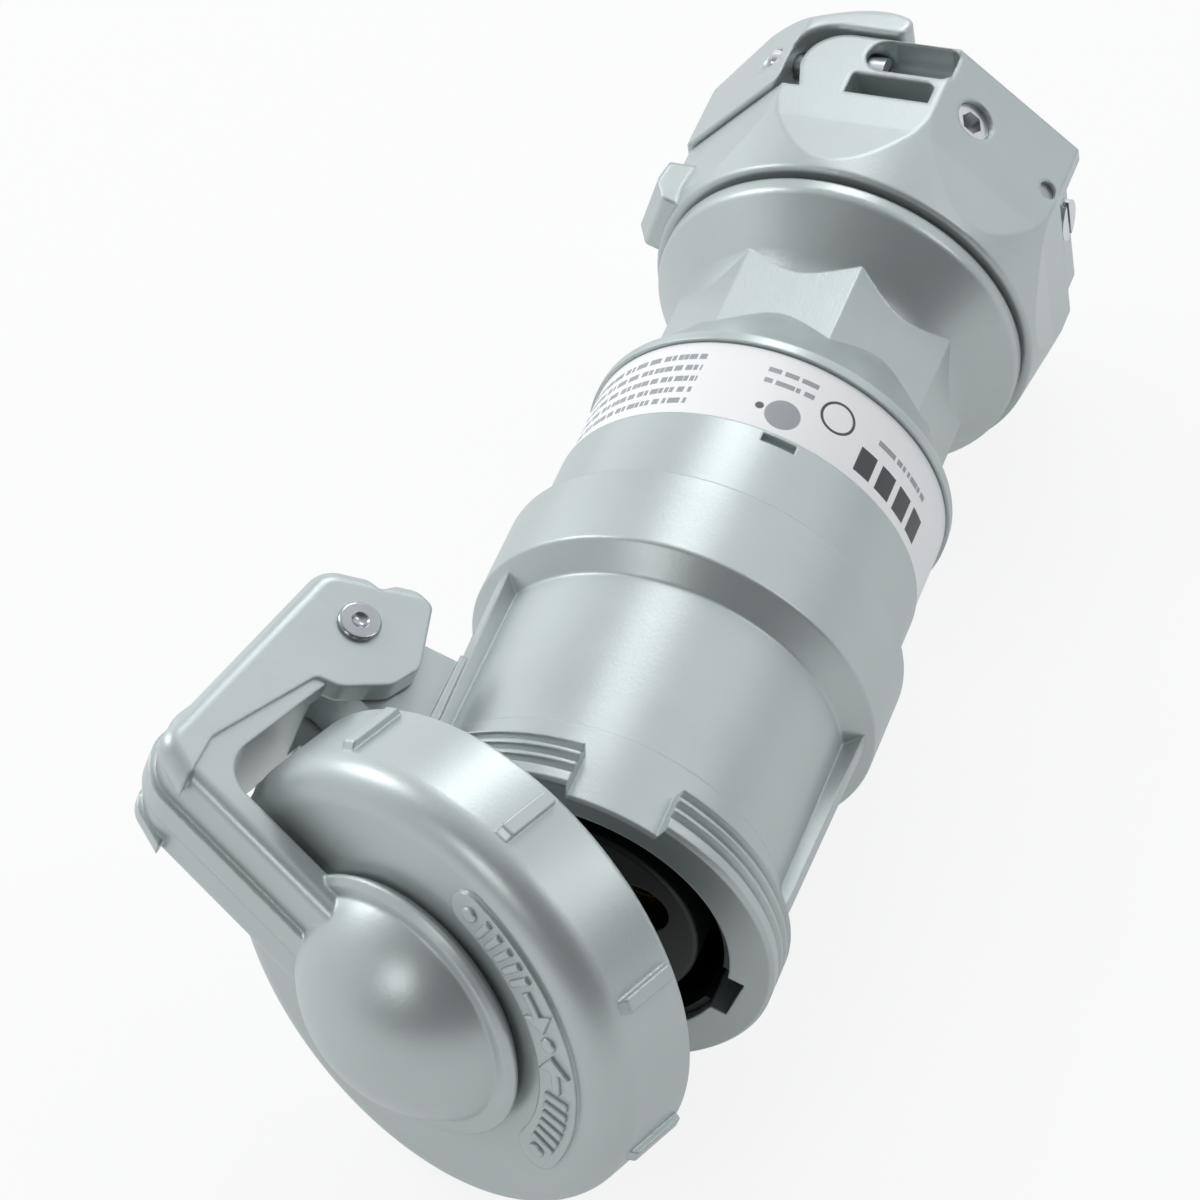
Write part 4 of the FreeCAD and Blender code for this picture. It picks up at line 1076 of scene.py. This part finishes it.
@dataclass
class Studio:
    """Camera, floor and soft lights round the object."""

    eye: Point = (0.2796, -0.4717, 0.6586)
    right: Point = (0.9286, 0.3442, -0.1388)
    up: Point = (-0.1675, 0.7224, 0.6709)
    back: Point = (0.3311, -0.5998, 0.7284)
    lens: float = 150.0
    centre: Point = (0.0, 0.05, 0.0)
    floor_half: float = 6.0
    floor_colour: Colour = (0.86, 0.87, 0.88, 1.0)
    floor_rough: float = 0.9
    floor_share: float = 0.86
    floor_gloss: float = 0.46
    room_colour: Colour = (0.95, 0.975, 1.0, 1.0)
    room_level: float = 0.14
    glows: tuple[Glow, ...] = (
        Glow((0.0, 1.0, 0.0), 85.0, 0.70),
        Glow((-0.95, 0.0, -0.2), 70.0, 0.75),
        Glow((0.0, 0.1, -1.0), 80.0, 0.85),
        Glow((0.85, 0.5, 0.1), 50.0, 0.40),
    )
    lamps: tuple[Lamp, ...] = (
        Lamp("key", (-0.85, 0.75, 0.15), (0.35, 0.45), 2.7),
        Lamp("top", (0.10, 1.15, 0.10), (0.40, 0.30), 1.7),
        Lamp("side", (0.85, 0.55, 0.60), (0.20, 0.60), 1.0),
        Lamp("front", (-0.66, -0.14, 0.92), (0.34, 0.34), 1.2),
    )

    def camera(self) -> None:
        """Make the camera at the photograph's angle."""
        data = bpy.data.cameras.new("view")
        data.lens = self.lens
        data.sensor_width = 36.0
        data.clip_start = 0.05
        data.clip_end = 50.0
        seen = bpy.data.objects.new("view", data)
        axes = Matrix((self.right, self.up, self.back)).transposed().to_4x4()
        seen.matrix_world = Matrix.Translation(self.eye) @ axes
        bpy.context.scene.collection.objects.link(seen)
        bpy.context.scene.camera = seen

    def light(self, lamp: Lamp) -> None:
        """Add a lamp that faces the object.

        Args:
            lamp: its name, place, size and power.
        """
        data = bpy.data.lights.new(lamp.name, "AREA")
        data.shape = "RECTANGLE"
        data.size, data.size_y = lamp.size
        data.energy = lamp.power
        made = bpy.data.objects.new(lamp.name, data)
        offset = self.turned(lamp.place)
        facing = offset.to_track_quat("Z", "Y").to_matrix().to_4x4()
        made.matrix_world = Matrix.Translation(Vector(self.centre) + offset) @ facing
        bpy.context.scene.collection.objects.link(made)

    def floor(self, height: float) -> None:
        """Lay a white floor that keeps a pale shadow.

        Args:
            height: the object's lowest point.
        """
        mesh = bpy.data.meshes.new("floor")
        h = self.floor_half
        corners = [(-h, -h, height), (h, -h, height), (h, h, height), (-h, h, height)]
        mesh.from_pydata(corners, [], [(0, 1, 2, 3)])
        ground = bpy.data.objects.new("floor", mesh)
        bpy.context.scene.collection.objects.link(ground)
        material = bpy.data.materials.new("white_floor")
        material.use_nodes = True
        graph = Graph(material.node_tree)
        shader = material.node_tree.nodes["Principled BSDF"]
        shader.inputs["Base Color"].default_value = self.floor_colour
        shader.inputs["Roughness"].default_value = self.floor_rough
        glow = graph.add("ShaderNodeEmission")
        glow.inputs["Strength"].default_value = 1.0
        rays = graph.add("ShaderNodeLightPath")
        seen = graph.maths("MULTIPLY", rays.outputs["Is Camera Ray"], self.floor_share)
        glossy = graph.maths("MULTIPLY", rays.outputs["Is Glossy Ray"], self.floor_gloss)
        mixed = graph.add("ShaderNodeMixShader")
        graph.feed(mixed.inputs[0], graph.maths("MAXIMUM", seen, glossy))
        graph.feed(mixed.inputs[1], shader.outputs[0])
        graph.feed(mixed.inputs[2], glow.outputs[0])
        graph.feed(material.node_tree.nodes["Material Output"].inputs["Surface"],
                   mixed.outputs[0])
        mesh.materials.append(material)
        ground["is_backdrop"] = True

    def world(self) -> None:
        """Light the room's walls in soft patches and show white behind the object."""
        world = bpy.data.worlds.new("room")
        world.use_nodes = True
        graph = Graph(world.node_tree)
        sky = world.node_tree.nodes["Background"]
        sky.inputs["Color"].default_value = self.room_colour
        direction = graph.add("ShaderNodeTexCoord").outputs["Generated"]
        level: object = self.room_level
        for glow in self.glows:
            dot = graph.add("ShaderNodeVectorMath", operation="DOT_PRODUCT")
            graph.feed(dot.inputs[0], direction)
            graph.feed(dot.inputs[1], self.turned(glow.toward).normalized())
            patch = graph.span(dot.outputs["Value"], math.cos(math.radians(glow.reach)), 1.0,
                               0.0, glow.level)
            level = graph.maths("ADD", patch, level)
        rays = graph.add("ShaderNodeLightPath")
        graph.feed(sky.inputs["Strength"],
                   graph.span(rays.outputs["Is Camera Ray"], 0.0, 1.0, level, 1.0, smooth=False))
        bpy.context.scene.world = world

    def turned(self, place: Point) -> Vector:
        """Turn an offset by the camera's axes into the scene's own axes.

        Args:
            place: metres to the right, up the picture and towards the camera.

        Returns:
            The same offset in the scene.
        """
        return (Vector(self.right) * place[0] + Vector(self.up) * place[1]
                + Vector(self.back) * place[2])

    def build(self) -> None:
        """Set up camera, lamps, floor and world."""
        self.camera()
        for lamp in self.lamps:
            self.light(lamp)
        self.floor(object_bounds()[0].z)
        self.world()
        bpy.context.scene.view_settings.view_transform = "Standard"
        LOG.info("studio ready")


def main() -> None:
    """Build the looks in order and report each piece."""
    logging.basicConfig(level=logging.INFO, format="%(message)s")
    dressing = Dressing(Groups(), coupler_finishes())
    dressing.apply()
    hinge = Hinge()
    PanelMarks().build(hinge, dressing.material("cap_shell"))
    SoftCasting("hook_jaw", Body.JAW, Slot.JAW).build(dressing.material("hook_jaw"))
    Studio().build()


if __name__ == "__main__":
    main()
